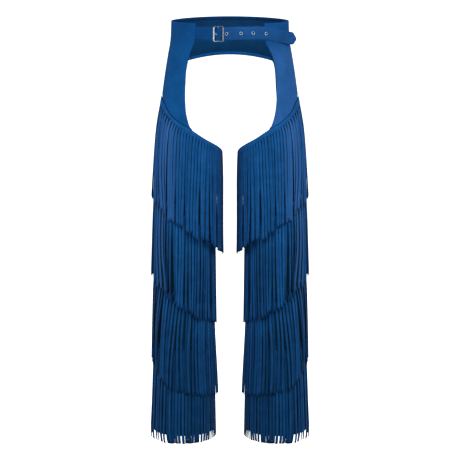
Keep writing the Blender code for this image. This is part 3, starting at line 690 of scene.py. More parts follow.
# ---------------------------------------------------------------------------------------------
# Fringe. Each tier is one long strip of suede, sewn round the leg by its uncut upper margin and slit
# from there down into narrow strands. Strands hang straight, bunch up, part and turn a little.

STRAND_WALL = 0.0010
LEG_RADIUS = form_depth(-0.5)      # length round the leg for each radian
FRINGE_LENGTH = 0.245
STANDOFF = 0.0010          # from the leg at the seam
FLARE = 0.0052             # more than that at the ends
FLARE_OVER_LEG = 0.4       # share of the flare kept where a fuller leg pushes the ends out
# How far down a strand each of its rows lies, from its slit to its end. The margin adds two above.
STRAND_ROWS = (0.0, 0.02, 0.05, 0.09, 0.15, 0.24, 0.34, 0.45, 0.56, 0.67, 0.78, 0.88, 0.96, 1.0)
MARGIN_ROWS = 2
# The uncut margin is widest at the outer side.
MARGIN = (
    # angle, depth
    (0.0, 0.0165),
    (20.0, 0.0140),
    (34.0, 0.0115),
    (50.0, 0.0102),
    (90.0, 0.0096),
    (140.0, 0.0090),
    (180.0, 0.0085),
)

# How far the strands swing along the girth, in millimetres towards the inner side, half way down
# and at their ends, for each tier.
SWING = (
    # angle, first: mid, end, second: mid, end, third: mid, end, fourth: mid, end
    (0.0, 0.0, 0.0, 0.0, 0.0, -4.0, -4.0, 0.0, 0.0),
    (15.0, -2.0, 3.0, 0.0, 5.0, -8.0, -6.0, -1.0, 0.0),
    (32.0, -4.0, 0.0, -1.0, 6.0, -14.0, -14.0, -3.0, -3.0),
    (50.0, -5.0, -5.0, -2.0, -1.0, -16.0, -19.0, -4.0, -5.0),
    (70.0, -5.0, -7.0, -2.0, -3.0, -14.0, -17.0, -4.0, -5.0),
    (95.0, -5.0, -7.0, -2.0, -4.0, -9.0, -10.0, -3.0, -4.0),
    (130.0, -3.0, -3.0, -1.0, -3.0, -5.0, -2.0, -2.0, -3.0),
    (155.0, 0.0, 0.0, 0.0, 0.0, -2.0, 3.5, 0.0, 0.0),
    (180.0, 0.0, 0.0, 0.0, 2.0, 0.0, 7.0, 0.0, 0.0),
)
# The habits of each tier's strands, from the first tier to the fourth. Where a habit differs round
# the leg, the outer side is at 0 degrees and the inner side at 180.
TIER_HABITS = {
    "seed": (11, 23, 37, 41),
    "pitch": (0.0071, 0.0076, 0.0078, 0.0076),        # from slit to slit at the front
    "wider inside": (0.42, 0.0, 0.0, 0.0),            # how much further apart at the inner side
    "width": (0.925, 0.92, 0.91, 0.88),               # of a strand, as a share of its pitch
    "slimmer": (-0.07, 0.26, 0.34, 0.12),             # how much slimmer at the outer side
    "fuller": (0.0, 0.20, 0.20, 0.0),                 # how much wider right at the inner side
    "longest": (0.2525, 0.2450, 0.2450, 0.2466),      # length from the seam
    "ragged": (0.0110, 0.0075, 0.0060, 0.0018),       # how much shorter the shortest are
    "bunching": (0.55, 1.00, 1.05, 0.14),             # how strongly strands bunch up
    "late": (2.6, 1.3, 1.3, 1.2),                     # how far down they begin to
    "turning": (0.50, 0.75, 0.75, 0.38),              # how much they twist
    "calm from": (130.0, 130.0, 100.0, 130.0),        # degrees at which they hang calmer,
    "calm over": (25.0, 25.0, 35.0, 25.0),            # and over how many more
    "darkest": (0.98, 0.84, 0.60, 0.53),              # shades of their dye, at random from strand to strand; the lower tiers are painted darker, as painted shade towards the hem
    "lightest": (1.22, 1.20, 1.08, 0.92),
    "inmost": (0.42, 0.34, 0.0, 0.0),                 # how much darker at the inner side, as painted shade between the legs
    "outmost": (0.42, 0.50, 0.0, -0.40),              # painted shade, how much darker at the outer side (painted light on the fourth tier, lighter there), fading
    "spread": (18.0, 34.0, 38.0, 110.0),              # out over so many degrees
    "sheen_paint": (0.80, 0.22, 0.34, 0.16),              # how strong the painted sheen is
    "edge": (0.62, 0.86, 0.95, 0.93),                 # how dark their cut edges are: their own colour, with painted shade of the gaps between strands
    "outer edge": (0.50, 0.88, 0.86, 0.82),           # and at the outer side
    "softer edge": (0.0, 0.30, 0.30, 0.0),            # how much less dark at the inner side
}
WIDER = 0.40               # how much wider the strands are cut at the outer side
WIDER_FROM = 70.0          # degrees from the outer side at which that begins
WIDER_OVER = 50.0
WIDER_INSIDE_FROM = 95.0
WIDER_INSIDE_OVER = 55.0
FULLER_FROM = 145.0
FULLER_OVER = 15.0
CRISP_TO = 64.0            # degrees up to which strands begin to look like the outer ones,
CRISP_OVER = 25.0          # and fully so this much further out
PAINTED_SHEEN_AT = 40.0          # degrees from the outer side at which the painted sheen is strongest
PAINTED_SHEEN_SPREAD = 20.0
# Where strands part and show what lies beneath.
PARTINGS = (
    # tier, degrees of turn, from and to down the strands, opening to each side
    (0, 103, 0.46, 1.10, 0.0026),
    (0, 45, 0.62, 1.30, 0.0013),
    (0, 59, 0.60, 1.30, 0.0028),
    (0, 74, 0.70, 1.50, 0.0026),
    (0, 88, 0.76, 1.50, 0.0016),
    (0, 120, 0.78, 1.40, 0.0014),
    (0, 138, 0.58, 0.94, 0.0024),
    (0, 222, 0.55, 1.15, 0.0042),
    (0, 300, 0.62, 1.10, 0.0016),
    (1, 42, 0.70, 1.15, 0.0020),
    (1, 79, 0.15, 0.85, 0.0014),
    (1, 104, 0.50, 1.05, 0.0012),
    (1, 225, 0.30, 1.05, 0.0018),
    (1, 290, 0.45, 1.10, 0.0016),
    (2, 30, 0.10, 0.95, 0.0010),
    (2, 54, 0.15, 0.85, 0.0018),
    (2, 84, 0.50, 1.20, 0.0020),
    (2, 97, 0.10, 0.80, 0.0015),
    (2, 106, 0.25, 1.10, 0.0017),
    (2, 122, 0.30, 0.90, 0.0011),
    (2, 215, 0.20, 1.05, 0.0020),
    (2, 262, 0.40, 1.20, 0.0016),
    (2, 310, 0.15, 0.95, 0.0016),
    (3, 52, 0.30, 0.95, 0.0019),
    (3, 73, 0.30, 0.94, 0.0014),
    (3, 92, 0.25, 0.93, 0.0017),
    (3, 107, 0.35, 0.94, 0.0014),
    (3, 132, 0.30, 0.94, 0.0014),
    (3, 210, 0.25, 0.93, 0.0018),
    (3, 255, 0.30, 0.93, 0.0016),
    (3, 305, 0.20, 0.93, 0.0018),
)
PARTING_WIDTH = 0.008
PARTING_FULLNESS = 0.6     # below 1, a parting stays open longer towards its ends
# Single strands that have swung across the others.
STRAYS = (
    # tier, degrees of turn, swing at the end, lift
    (0, 22, 0.0090, 0.0030),
    (0, 29, 0.0120, 0.0036),
    (0, 36, 0.0085, 0.0028),
    (0, 215, -0.0065, 0.0005),
    (0, 268, -0.0060, 0.0030),
    (1, 33, 0.0070, 0.0026),
    (1, 39, 0.0100, 0.0030),
    (1, 45, 0.0125, 0.0036),
    (1, 51, 0.0080, 0.0030),
    (1, 240, 0.0070, 0.0030),
    (2, 34, 0.0110, 0.0030),
    (2, 41, 0.0080, 0.0026),
    (2, 300, -0.0080, 0.0030),
)
STRAY_FROM = 0.35          # the share of a strand at which it begins to swing across
STRAY_LIFT_FROM = 0.30     # and to lift off them
STRAY_LIFT_OVER = 0.40
STRAY_PAINTED_SHEEN = 0.6          # it gets painted sheen
# The ends of the first tier's inner strands lie on one slanting line.
FLAG_END = 0.2488          # the length of the inmost strand
FLAG_DROP = 0.0075         # how much longer the last ones on that line are
FLAG_HALF = 44.0           # degrees that the line reaches to each side
FLAG_FADE = 6.0
FLAG_SEAM_FROM = math.radians(150.0)   # where the fall of the seam above them is taken
# Places where strand ends stand off further from the leg, or less.
FLARES = (
    # tier, degrees of turn, half width in degrees, flare
    (2, 180, 38, 0.0046),
    (0, 0, 12, 0.0006),
    (0, 180, 40, -0.0026),
)
FLARE_FROM = 0.15          # the share of a strand at which that begins
HEM_FILL = 0.17            # how much wider the last tier's front strands are
HEM_FILL_AT = 100.0        # degrees of turn
HEM_FILL_SPREAD = 42.0
HEM_OPEN = 0.42            # how much narrower its outer and inner strands are at their ends
HEM_OPEN_LEAST = 0.2       # the share of that on its other strands
HEM_OPEN_FROM = 138.0
HEM_OPEN_OVER = 16.0
HEM_OPEN_RUN = 0.05        # the share of a strand over which its end narrows
INMOST_SPREAD = 60.0       # degrees over which the inmost strands have painted shade
OUTMOST_SPREAD = (0.5, 1.5)    # how unevenly the outmost strands are painted darker, or lighter
CALM = 0.7                 # how much less the strands bunch up at the inner side
TOP_LIGHT = 0.22           # painted light against the shadow of the tier above: how much lighter strands are where they come out from under it
TOP_LIGHT_TO = 0.24        # the share of a strand up to which that is so in full,
TOP_LIGHT_OVER = 0.21      # and over which it fades out
HEM_CURL = 0.0058          # how far the last tier's ends curl over
HEM_CURL_SPREAD = (0.75, 1.15)
HEM_CURL_START = 0.92
HEM_CURL_FRONT = 0.3       # the share of the curl on strands at the middle of the front
COVERED_PAINTED_SHADE = 0.45        # painted shade on margins under the tier above
LEAN = 0.010               # how far a slit's top is drawn over, for a seam that falls at 45 degrees
LEAN_END = 0.12            # the share of a strand that straightens out
LEAN_STEP = 0.04           # radians to each side over which the seam's fall is taken
LEAN_RISE = 2.0            # how fast strands begin to lean, away from the outer and inner sides
# Slits gape at their tops, where strands draw in, and most so near the outer side.
SLIT_TOP_WIDTH = (0.84, 0.62)      # the share of a strand's width there: least and most drawn in
SLIT_TOP_END = 0.10        # the share of a strand over which it widens out again
DRAWN_IN_FROM = 80.0       # degrees up to which they gape more than least,
DRAWN_IN_OVER = 40.0       # and most so this much further out
LEAN_LEAST = 0.35          # the share of the lean where they gape least
# How strands bunch up: waves that run round the leg.
WAVES = (
    # number round the leg, swing
    (9, 0.0026),
    (14, 0.0020),
    (23, 0.0015),
    (31, 0.0008),
)
WAVE_DRIFT = 1.2           # how far a wave wanders down the strands, in radians
# How far single strands differ, before their tier's habits scale it.
CUT_WANDER = 0.07          # of a slit, in pitches
TWIST_SPREAD = 0.35        # radians
CURL_SPREAD = 0.55         # radians, at the end
SWAY_SPREAD = 0.0007
RIPPLE = 0.0006
RIPPLE_RUN = 5             # radians down a strand
MEAN_LIFT = 0.0010         # of the strands off their tier's form
LIFT_STEP = 0.0004         # every other strand lies on its neighbours
LIFT_SPREAD = 0.0006
CUP_SPREAD = 0.0004        # of a strand's middle, off its edges
SLANT_SPREAD = 0.4         # of a strand's end, as a share of how ragged the tier is
PAINTED_SHEEN_LEAST = 0.10
THREAD_LINES = (0.0028, 0.0148)    # below the first tier's upper edge


def strand_finish():
    """Suede strands: each a little lighter or darker than the next, with darker cut edges that also carry
    painted shade of the gaps, painted shade and light by place, and a painted sheen.
    """
    made = suede("blue_suede_strands", (0.0046, 0.054, 0.174), (0.0068, 0.071, 0.224), 0.10, 1.6)
    tree = made.node_tree
    shader = tree.nodes["Principled BSDF"]
    colour = shader.inputs["Base Color"].links[0].from_socket
    tone = tree.nodes.new("ShaderNodeAttribute")
    tone.attribute_name = "tone"
    across = tree.nodes.new("ShaderNodeAttribute")
    across.attribute_name = "across"
    edge = tree.nodes.new("ShaderNodeMapRange")
    edge.interpolation_type = "SMOOTHSTEP"
    edge.inputs["From Min"].default_value = 0.45
    edge.inputs["From Max"].default_value = 1.0
    edge.inputs["To Max"].default_value = 0.85
    tree.links.new(across.outputs["Fac"], edge.inputs["Value"])
    # Painted sheen: strands near the outer front are mixed towards a lighter violet blue, as if catching
    # the side lamps.
    bloom = tree.nodes.new("ShaderNodeAttribute")
    bloom.attribute_name = "bloom"
    sheen_paint = tree.nodes.new("ShaderNodeMix")
    sheen_paint.data_type = "RGBA"
    tree.links.new(bloom.outputs["Fac"], sheen_paint.inputs["Factor"])
    tree.links.new(colour, sheen_paint.inputs["A"])
    sheen_paint.inputs["B"].default_value = (0.029, 0.096, 0.272, 1.0)
    # Each strand's tone: random from strand to strand, with painted shade and light by place.
    tone_and_painted_shade = tree.nodes.new("ShaderNodeMix")
    tone_and_painted_shade.data_type = "RGBA"
    tone_and_painted_shade.blend_type = "MULTIPLY"
    tone_and_painted_shade.inputs["Factor"].default_value = 1.0
    tree.links.new(sheen_paint.outputs["Result"], tone_and_painted_shade.inputs["A"])
    tree.links.new(tone.outputs["Fac"], tone_and_painted_shade.inputs["B"])
    # Darker cut edges: partly the cut edges' own colour, partly painted shade of the gaps between
    # strands.
    cut = tree.nodes.new("ShaderNodeMix")
    cut.data_type = "RGBA"
    tree.links.new(edge.outputs["Result"], cut.inputs["Factor"])
    tree.links.new(tone_and_painted_shade.outputs["Result"], cut.inputs["A"])
    cut.inputs["B"].default_value = (0.0034, 0.0175, 0.031, 1.0)
    tree.links.new(cut.outputs["Result"], shader.inputs["Base Color"])
    return made


strand_suede = strand_finish()
swing_readers = [smooth(SWING, column) for column in range(1, 9)]
margin_depth = smooth(MARGIN, 1)


def push_needed(point, normal, height, standoff):
    """How far a point has to move along a direction to stand off from the leg at a height."""
    half_width = form_reach(height) - form_centre(height) + standoff
    half_depth = form_depth(height) + standoff
    start = ((point.x - form_centre(height)) / half_width, point.y / half_depth)
    ahead = (normal.x / half_width, normal.y / half_depth)
    square = ahead[0] ** 2 + ahead[1] ** 2
    slope = start[0] * ahead[0] + start[1] * ahead[1]
    inside = start[0] ** 2 + start[1] ** 2 - 1.0
    return (math.sqrt(max(slope * slope - square * inside, 0.0)) - slope) / square


def hang(tier, turn, length):
    """Where a strand hangs so far below its seam, with the direction out from the leg. It hangs
    straight down, and is pushed out where the leg below is fuller."""
    front = 1.0 if turn <= math.pi else -1.0
    angle = turn if turn <= math.pi else 2 * math.pi - turn
    seam = tier_seam(tier, angle, front)
    down = length / FRINGE_LENGTH
    half_width = form_reach(seam) - form_centre(seam)
    normal = Vector((math.cos(angle) / half_width, -front * math.sin(angle) / form_depth(seam), 0.0))
    normal.normalize()
    top = on_form(angle, seam, STANDOFF, front)
    over = max(push_needed(top, normal, seam - length * share / 4, STANDOFF) for share in range(5))
    over = max(over + FLARE * FLARE_OVER_LEG * down,
               push_needed(top, normal, seam - length, STANDOFF + FLARE * down))
    return Vector((top.x, top.y, seam - length)) + normal * over, normal


def from_outer(turn):
    """Degrees from the outer side, over the front or the back."""
    return math.degrees(min(turn, 2 * math.pi - turn))


def local_pitch(habits, turn):
    """From slit to slit at a place round the leg."""
    outer = from_outer(turn)
    wider = WIDER * ease((WIDER_FROM - outer) / WIDER_OVER)
    wider += habits["wider inside"] * ease((outer - WIDER_INSIDE_FROM) / WIDER_INSIDE_OVER)
    return habits["pitch"] * (1.0 + wider)


def lay_out(tier, habits):
    """How many strands a tier has, the turn round the leg of each slit by its number, and the length
    of the strip."""
    turns = steps(0.0, 2 * math.pi, 480)
    points = [hang(tier, turn, 0.0)[0] for turn in turns]
    counted = [0.0]
    strip = 0.0
    for turn, before, after in zip(turns, points, points[1:]):
        run = math.hypot(after.x - before.x, after.y - before.y)
        counted.append(counted[-1] + run / local_pitch(habits, turn))
        strip += (after - before).length
    count = round(counted[-1])

    def turn_at(number):
        wanted = min(max(number / count, 0.0), 1.0) * counted[-1]
        i = min(bisect_right(counted, wanted) - 1, len(counted) - 2)
        share = (wanted - counted[i]) / (counted[i + 1] - counted[i])
        return turns[i] + (turns[i + 1] - turns[i]) * share

    return count, turn_at, strip


def drawn_in(turn):
    """How strongly the slits gape at their tops: most near the outer side."""
    return ease((DRAWN_IN_FROM - from_outer(turn)) / DRAWN_IN_OVER)


def lean(tier, turn):
    """How far past its strand the top of a slit lies, because the strands start square to the seam."""
    before, after = (hang(tier, turn + step, 0.0)[0] for step in (-LEAN_STEP, LEAN_STEP))
    run = math.hypot(after.x - before.x, after.y - before.y)
    slope = (before.z - after.z) / run
    share = LEAN_LEAST + (1.0 - LEAN_LEAST) * drawn_in(turn)
    return LEAN * slope * min(abs(math.sin(turn)) * LEAN_RISE, 1.0) * share


def parting(partings, turn, grown):
    """How far partings push a strand along."""
    push = 0.0
    for slit, start, end, opening in partings:
        if start < grown < end:
            away = (turn - slit) * LEG_RADIUS
            shape = math.sin(math.pi * (grown - start) / (end - start)) ** PARTING_FULLNESS
            push += math.copysign(opening, away) * math.exp(-abs(away) / PARTING_WIDTH) * shape
    return push


def snapped(tier, slit_turns):
    """The partings of a tier, each moved to the nearest slit."""
    partings = []
    for number, degrees, start, end, opening in PARTINGS:
        if number == tier:
            slit = min(slit_turns, key=lambda turn: abs(turn - math.radians(degrees)))
            partings.append((slit, start, end, opening))
    return partings


def cut_strands(habits, slits, turn_at, draw):
    """The strands between the slits of a tier, each with its own small habits."""
    strands = []
    for i, (before, after) in enumerate(zip(slits, slits[1:])):
        number = (before + after) / 2
        step = LIFT_STEP if i % 2 else -LIFT_STEP
        strands.append({
            "number": number,
            "turn": turn_at(number),
            "width": (after - before) * habits["width"],
            "length": habits["longest"] - draw.uniform(0.0, habits["ragged"]),
            "twist": draw.gauss(0.0, TWIST_SPREAD) * habits["turning"],
            "curl": draw.gauss(0.0, CURL_SPREAD) * habits["turning"],
            "sway": draw.gauss(0.0, SWAY_SPREAD) * habits["bunching"],
            "ripple": draw.uniform(0, 2 * math.pi),
            "lift": MEAN_LIFT + step + draw.uniform(-LIFT_SPREAD, LIFT_SPREAD),
            "cup": draw.gauss(0.0, CUP_SPREAD),
            "slant": draw.uniform(-SLANT_SPREAD, SLANT_SPREAD) * habits["ragged"],
            "tone": draw.uniform(habits["darkest"], habits["lightest"]),
            "hem": HEM_CURL * draw.uniform(*HEM_CURL_SPREAD),
            "bloom": habits["sheen_paint"] * draw.uniform(PAINTED_SHEEN_LEAST, 1.0),
            "open": 0.0,
            "stray": (0.0, 0.0),
        })
    return strands


def let_stray(tier, habits, strands):
    """Swing the stray strands of a tier across the others."""
    for number, degrees, swing, lift in STRAYS:
        if number == tier:
            nearest = min(strands, key=lambda strand: abs(strand["turn"] - math.radians(degrees)))
            nearest["stray"] = (swing, lift)
            nearest["tone"] = (habits["darkest"] + habits["lightest"]) / 2
            nearest["bloom"] = STRAY_PAINTED_SHEEN


def fit_to_place(tier, habits, strand, turn_at, draw):
    """Change a strand by where round the leg it hangs: crisper at the outer side, calmer and wider at the
    inner side, with painted sheen near the outer front and painted shade at the inner and outer sides."""
    turn = strand["turn"]
    outer = from_outer(turn)
    crisp = ease((CRISP_TO - outer) / CRISP_OVER)
    quiet = ease((outer - habits["calm from"]) / habits["calm over"])
    calm = 1.0 - CALM * quiet
    # Painted sheen, strongest near the outer front.
    off = (outer - PAINTED_SHEEN_AT) / PAINTED_SHEEN_SPREAD
    strand["bloom"] *= math.exp(-off * off)
    # Painted shade at the inner side, between the legs, and at the outer side; on the fourth tier the
    # outer strands are painted lighter, as painted light.
    strand["tone"] *= 1.0 - habits["inmost"] * ease(1.0 - (180.0 - outer) / INMOST_SPREAD)
    outmost = habits["outmost"] * ease(1.0 - outer / habits["spread"])
    strand["tone"] *= 1.0 - outmost * draw.uniform(*OUTMOST_SPREAD)
    strand["edge"] = habits["edge"] + (habits["outer edge"] - habits["edge"]) * crisp
    strand["edge"] *= 1.0 - habits["softer edge"] * quiet
    strand["width"] *= local_pitch(habits, turn)
    strand["width"] *= 1.0 - habits["slimmer"] * crisp
    strand["width"] *= 1.0 + habits["fuller"] * ease((outer - FULLER_FROM) / FULLER_OVER)
    strand["calm"] = calm
    strand["twist"] *= calm
    strand["curl"] *= calm
    strand["lift"] = MEAN_LIFT + (strand["lift"] - MEAN_LIFT) * calm
    strand["length"] += (habits["longest"] - strand["length"]) * (1.0 - calm)
    if tier == 3:
        inner = ease((outer - HEM_OPEN_FROM) / HEM_OPEN_OVER)
        strand["open"] = HEM_OPEN * max(crisp, inner, HEM_OPEN_LEAST)
        off = (math.degrees(turn) - HEM_FILL_AT) / HEM_FILL_SPREAD
        strand["width"] *= 1.0 + HEM_FILL * math.exp(-(off ** 4))
    flag = ease((FLAG_HALF - 180.0 + outer) / FLAG_FADE)
    if tier == 0 and flag > 0.0:
        fall = tier_seam(0, math.pi, 1.0) - tier_seam(0, FLAG_SEAM_FROM, 1.0)
        slope = fall / (math.pi - FLAG_SEAM_FROM) + FLAG_DROP / math.radians(FLAG_HALF)
        strand["length"] = FLAG_END + FLAG_DROP * flag * (180.0 - outer) / FLAG_HALF
        half_turn = (turn_at(strand["number"] + 0.5) - turn_at(strand["number"] - 0.5)) / 2
        strand["slant"] = -slope * half_turn * (1.0 if turn < math.pi else -1.0)


def strand_sway(tier, habits, count, waves, partings, strand, grown):
    """How far along the girth a strand lies from where it would hang, at a share of its length."""
    turn = strand["turn"]
    mid, end = (0.001 * swing_readers[2 * tier + part](from_outer(turn)) for part in (0, 1))
    if turn > math.pi:
        mid, end = -mid, -end
    sway = mid * 4 * grown * (1 - grown) + end * grown * (2 * grown - 1)
    for number, size, phase, drift in waves:
        swell = math.sin(2 * math.pi * number * strand["number"] / count + phase + drift * grown)
        sway += habits["bunching"] * size * swell * grown ** habits["late"] * strand["calm"]
    sway += strand["sway"] * grown * 3
    sway += RIPPLE * math.sin(RIPPLE_RUN * grown + strand["ripple"]) * grown
    sway += lean(tier, turn) * max(0.0, 1.0 - grown / LEAN_END) ** 2
    sway += parting(partings, turn, grown)
    sway += strand["stray"][0] * ease((grown - STRAY_FROM) / (1.0 - STRAY_FROM))
    if tier == 3:
        inward = math.copysign(1.0, math.pi - turn) * math.cos(turn)
        curled = max(0.0, grown - HEM_CURL_START) / (1 - HEM_CURL_START)
        sway += strand["hem"] * (HEM_CURL_FRONT + inward) * curled
    return sway


def strand_half(strand, grown):
    """Half a strand's width. It draws in at the tops of its slits, and at some ends of the hem."""
    least, most = SLIT_TOP_WIDTH
    top_width = least + (most - least) * drawn_in(strand["turn"])
    half = strand["width"] / 2
    half *= top_width + (1.0 - top_width) * ease(grown / SLIT_TOP_END)
    return half * (1.0 - strand["open"] * ease((grown - HEM_CURL_START) / HEM_OPEN_RUN))


def strand_lift(tier, strand, grown):
    """How far a strand stands off from where it would hang."""
    lift = strand["lift"] * min(grown * 4, 1.0)
    lift += strand["stray"][1] * ease((grown - STRAY_LIFT_FROM) / STRAY_LIFT_OVER)
    for number, middle, half_width, extra in FLARES:
        if number == tier:
            off = abs((math.degrees(strand["turn"]) - middle + 180) % 360 - 180)
            lift += extra * ease(1.0 - off / half_width) * ease((grown - FLARE_FROM) / (1.0 - FLARE_FROM))
    return lift


def strand_point(tier, strand, sway, grown, offside):
    """Where a strand's left edge (-1), middle (0) or right edge (1) lies, at a share of its length."""
    depth = margin_depth(from_outer(strand["turn"]))
    below = depth + grown * (strand["length"] - depth)
    if grown == 1.0:
        below += strand["slant"] * offside
    point, normal = hang(tier, strand["turn"], below)
    along = Vector((normal.y, -normal.x, 0.0))
    twist = strand["twist"] * min(grown * 3, 1.0) + strand["curl"] * grown * grown
    half = strand_half(strand, grown)
    lift = strand_lift(tier, strand, grown) + half * abs(math.sin(twist)) * 0.5
    if offside == 0:
        lift += strand["cup"]
    across = along * math.cos(twist) + normal * math.sin(twist)
    return point + along * sway + normal * lift + across * (half * offside)


def fringe(tier, side_name, side):
    """One tier of fringe on one leg."""
    habits = {name: values[tier] for name, values in TIER_HABITS.items()}
    draw = random.Random(habits["seed"])
    count, turn_at, strip = lay_out(tier, habits)
    slits = [i + draw.uniform(-CUT_WANDER, CUT_WANDER) for i in range(count)]
    slits.append(count + slits[0])
    waves = [(number, size, draw.uniform(0, 2 * math.pi), draw.uniform(-WAVE_DRIFT, WAVE_DRIFT))
             for number, size in WAVES]
    partings = snapped(tier, [turn_at(slit) for slit in slits])
    strands = cut_strands(habits, slits, turn_at, draw)
    let_stray(tier, habits, strands)
    for strand in strands:
        fit_to_place(tier, habits, strand, turn_at, draw)

    bm = bmesh.new()
    rows = MARGIN_ROWS + len(STRAND_ROWS) - 1
    bmesh.ops.create_grid(bm, x_segments=2 * count, y_segments=rows, size=0.5)
    tone_layer = bm.verts.layers.float.new("tone")
    across_layer = bm.verts.layers.float.new("across")
    painted_sheen_layer = bm.verts.layers.float.new("bloom")

    def column_of(vert):
        return round((vert.co.x + 0.5) * 2 * count)

    def row_of(vert):
        return round((0.5 - vert.co.y) * rows)

    slit_edges = [
        edge for edge in bm.edges
        if column_of(edge.verts[0]) == column_of(edge.verts[1]) and column_of(edge.verts[0]) % 2 == 0
        and min(row_of(vert) for vert in edge.verts) >= MARGIN_ROWS
    ]
    bmesh.ops.split_edges(bm, edges=slit_edges)
    places = {}
    for vert in bm.verts:
        strand = int((vert.link_faces[0].calc_center_median().x + 0.5) * count)
        places[vert] = (column_of(vert), row_of(vert), strand)
    for vert, (column, row, number) in places.items():
        strand = strands[number]
        offside = column - 2 * number - 1      # -1, 0 or 1: left edge, middle or right edge
        if row <= MARGIN_ROWS:
            turn = turn_at(slits[column // 2] if column % 2 == 0 else strand["number"])
            turn += lean(tier, turn) / LEG_RADIUS
            point, _ = hang(tier, turn, margin_depth(from_outer(turn)) * row / MARGIN_ROWS)
            mean_tone = (habits["darkest"] + habits["lightest"]) / 2
            vert[tone_layer] = mean_tone if tier == 0 else COVERED_PAINTED_SHADE
            vert[across_layer] = strand["edge"] * abs(offside) if row == MARGIN_ROWS else 0.0
        else:
            grown = STRAND_ROWS[row - MARGIN_ROWS]
            sway = strand_sway(tier, habits, count, waves, partings, strand, grown)
            point = strand_point(tier, strand, sway, grown, offside)
            # Painted light where strands come out from under the tier above, against the shadow it casts.
            covered = 1.0 - ease((grown - TOP_LIGHT_TO) / TOP_LIGHT_OVER)
            vert[tone_layer] = strand["tone"] * (1.0 + TOP_LIGHT * covered if tier > 0 else 1.0)
            vert[across_layer] = strand["edge"] * abs(offside)
            vert[painted_sheen_layer] = strand["bloom"]
        vert.co = (point.x * side, point.y, point.z)
    margin_verts = [vert for vert, (column, row, number) in places.items() if row <= MARGIN_ROWS]
    bmesh.ops.remove_doubles(bm, verts=margin_verts, dist=1e-6)
    if side > 0:
        bmesh.ops.reverse_faces(bm, faces=bm.faces)
    piece = new_piece(f"tier_{tier + 1}_{side_name}", bm, (strand_suede,))
    wall = piece.modifiers.new("wall", "SOLIDIFY")
    wall.thickness = STRAND_WALL
    wall.offset = 1.0
    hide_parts(f"fringe_{tier + 1}_{side_name}")
    if tier == 0:
        lines = []
        for below in THREAD_LINES:
            line = []
            for turn in steps(0.0, 2 * math.pi, 320):
                point, normal = hang(tier, turn, below)
                point = point + normal * (STRAND_WALL + ON_FACE)
                line.append(Vector((point.x * side, point.y, point.z)))
            lines.append(line)
        stitching(f"tier_1_{side_name}_stitching", lines)


for side_name, side in (("left", 1.0), ("right", -1.0)):
    for tier in range(4):
        fringe(tier, side_name, side)


# ---------------------------------------------------------------------------------------------
# Belt strap. Two layers of suede stitched together near both edges, cut to a blunt point and punched.
# It is sewn inside the right front panel, runs through the buckle and lies on the left front panel.

STRAP_WIDTH = 0.0305
STRAP_WALL = 0.0018
STRAP_START = -0.103
STRAP_RISES = (-0.079, -0.0415)    # where it comes out from behind the right panel, start and end
STRAP_SINK = -0.0027
STRAP_LEAVES_HIP = 0.115
STRAP_TIP_REACH = 0.1585
STRAP_POINT = 0.0105
STRAP_TIP_SHARE = 0.16
STRAP_SHOULDER = 0.0042    # how far its corners are rounded
STRAP_TIP_ROUND = 0.0018
STRAP_ARRIS = 0.0006       # bevel of its rims
STRAP_STEP = 0.0020        # between points of its line,
WAVE_STEP = 0.0004         # and of the wave over the buckle's centre bar,
WAVE_STEP_REACH = 0.0115   # up to so far from the bar
SLICE = 0.0025             # between cuts across its mesh,
FINE_SLICE = 0.0006        # and near the buckle
FINE_SLICE_REACH = 0.016
LAST_SLICE = 0.0020        # from its tip
PANEL_EDGE = 0.083
LEVEL_INSIDE = 0.0150
LEVEL_OUTSIDE = -0.0300
STRAP_DROP = (
    # out, height
    (-0.1030, -0.0020),
    (-0.0300, -0.0016),
    (0.0200, 0.0000),
    (0.0600, 0.0000),
    (0.0853, -0.0020),
    (0.1150, -0.0100),
    (0.1600, -0.0210),
)
BUCKLE_AT = -0.0266
BUCKLE_STANDOFF = 0.0038
WAVE_HALF = 0.0094
WAVE_MIDDLE = 0.0012
WAVE_RISE = 0.0038
WAVE_FLAT = 0.4
EYELETS_AT = (-0.0083, 0.0260, 0.0546, 0.0853)
PRONG_HOLE_FROM_BAR = -0.0058
TIP_HOLE_FROM_END = 0.0175
TIP_HOLE_RISE = 0.0035
TIP_HOLE_RADIUS = 0.0015
TIP_HOLE_DEPTH = 0.3       # it goes past the middle by this share of the wall, and not through
HOLE_RADIUS = 0.0030
PUNCH_DEPTH = 0.02
strap_drop = smooth(STRAP_DROP, 1)


def at_waist(out, offset, level):
    """A point so far outside the panels at the front of the waist, and the direction out."""
    half_width = form_reach(level)
    half_depth = form_depth(level)
    deep = half_depth * math.sqrt(1.0 - (out / half_width) ** 2)
    normal = Vector((out / half_width ** 2, -deep / half_depth ** 2, 0.0)).normalized()
    return Vector((out, -deep, 0.0)) + normal * offset, normal


def strap_level(out):
    """The level of the form that the strap follows. It clears the narrow top of the right panel from
    inside, and from outside the wider stretch of the left one, under its own lower edge."""
    share = min(max((out + PANEL_EDGE) / (2 * PANEL_EDGE), 0.0), 1.0)
    return LEVEL_INSIDE + (LEVEL_OUTSIDE - LEVEL_INSIDE) * share


def strap_offset(out):
    """How far the strap's middle lies outside the form: behind the right panel, under the buckle's
    side bars, over its centre bar and on the left panel."""
    outside = SEAM_GAP + STRAP_WALL / 2
    from_bar = out - BUCKLE_AT
    if abs(from_bar) < WAVE_HALF:
        swing = math.cos(math.pi * from_bar / WAVE_HALF)
        swing *= 1.0 + WAVE_FLAT * (1.0 - swing * swing)
        return BUCKLE_STANDOFF + WAVE_MIDDLE + WAVE_RISE * swing
    if from_bar < 0:
        start, end = STRAP_RISES
        return STRAP_SINK + (outside - STRAP_SINK) * ease((out - start) / (end - start))
    return outside


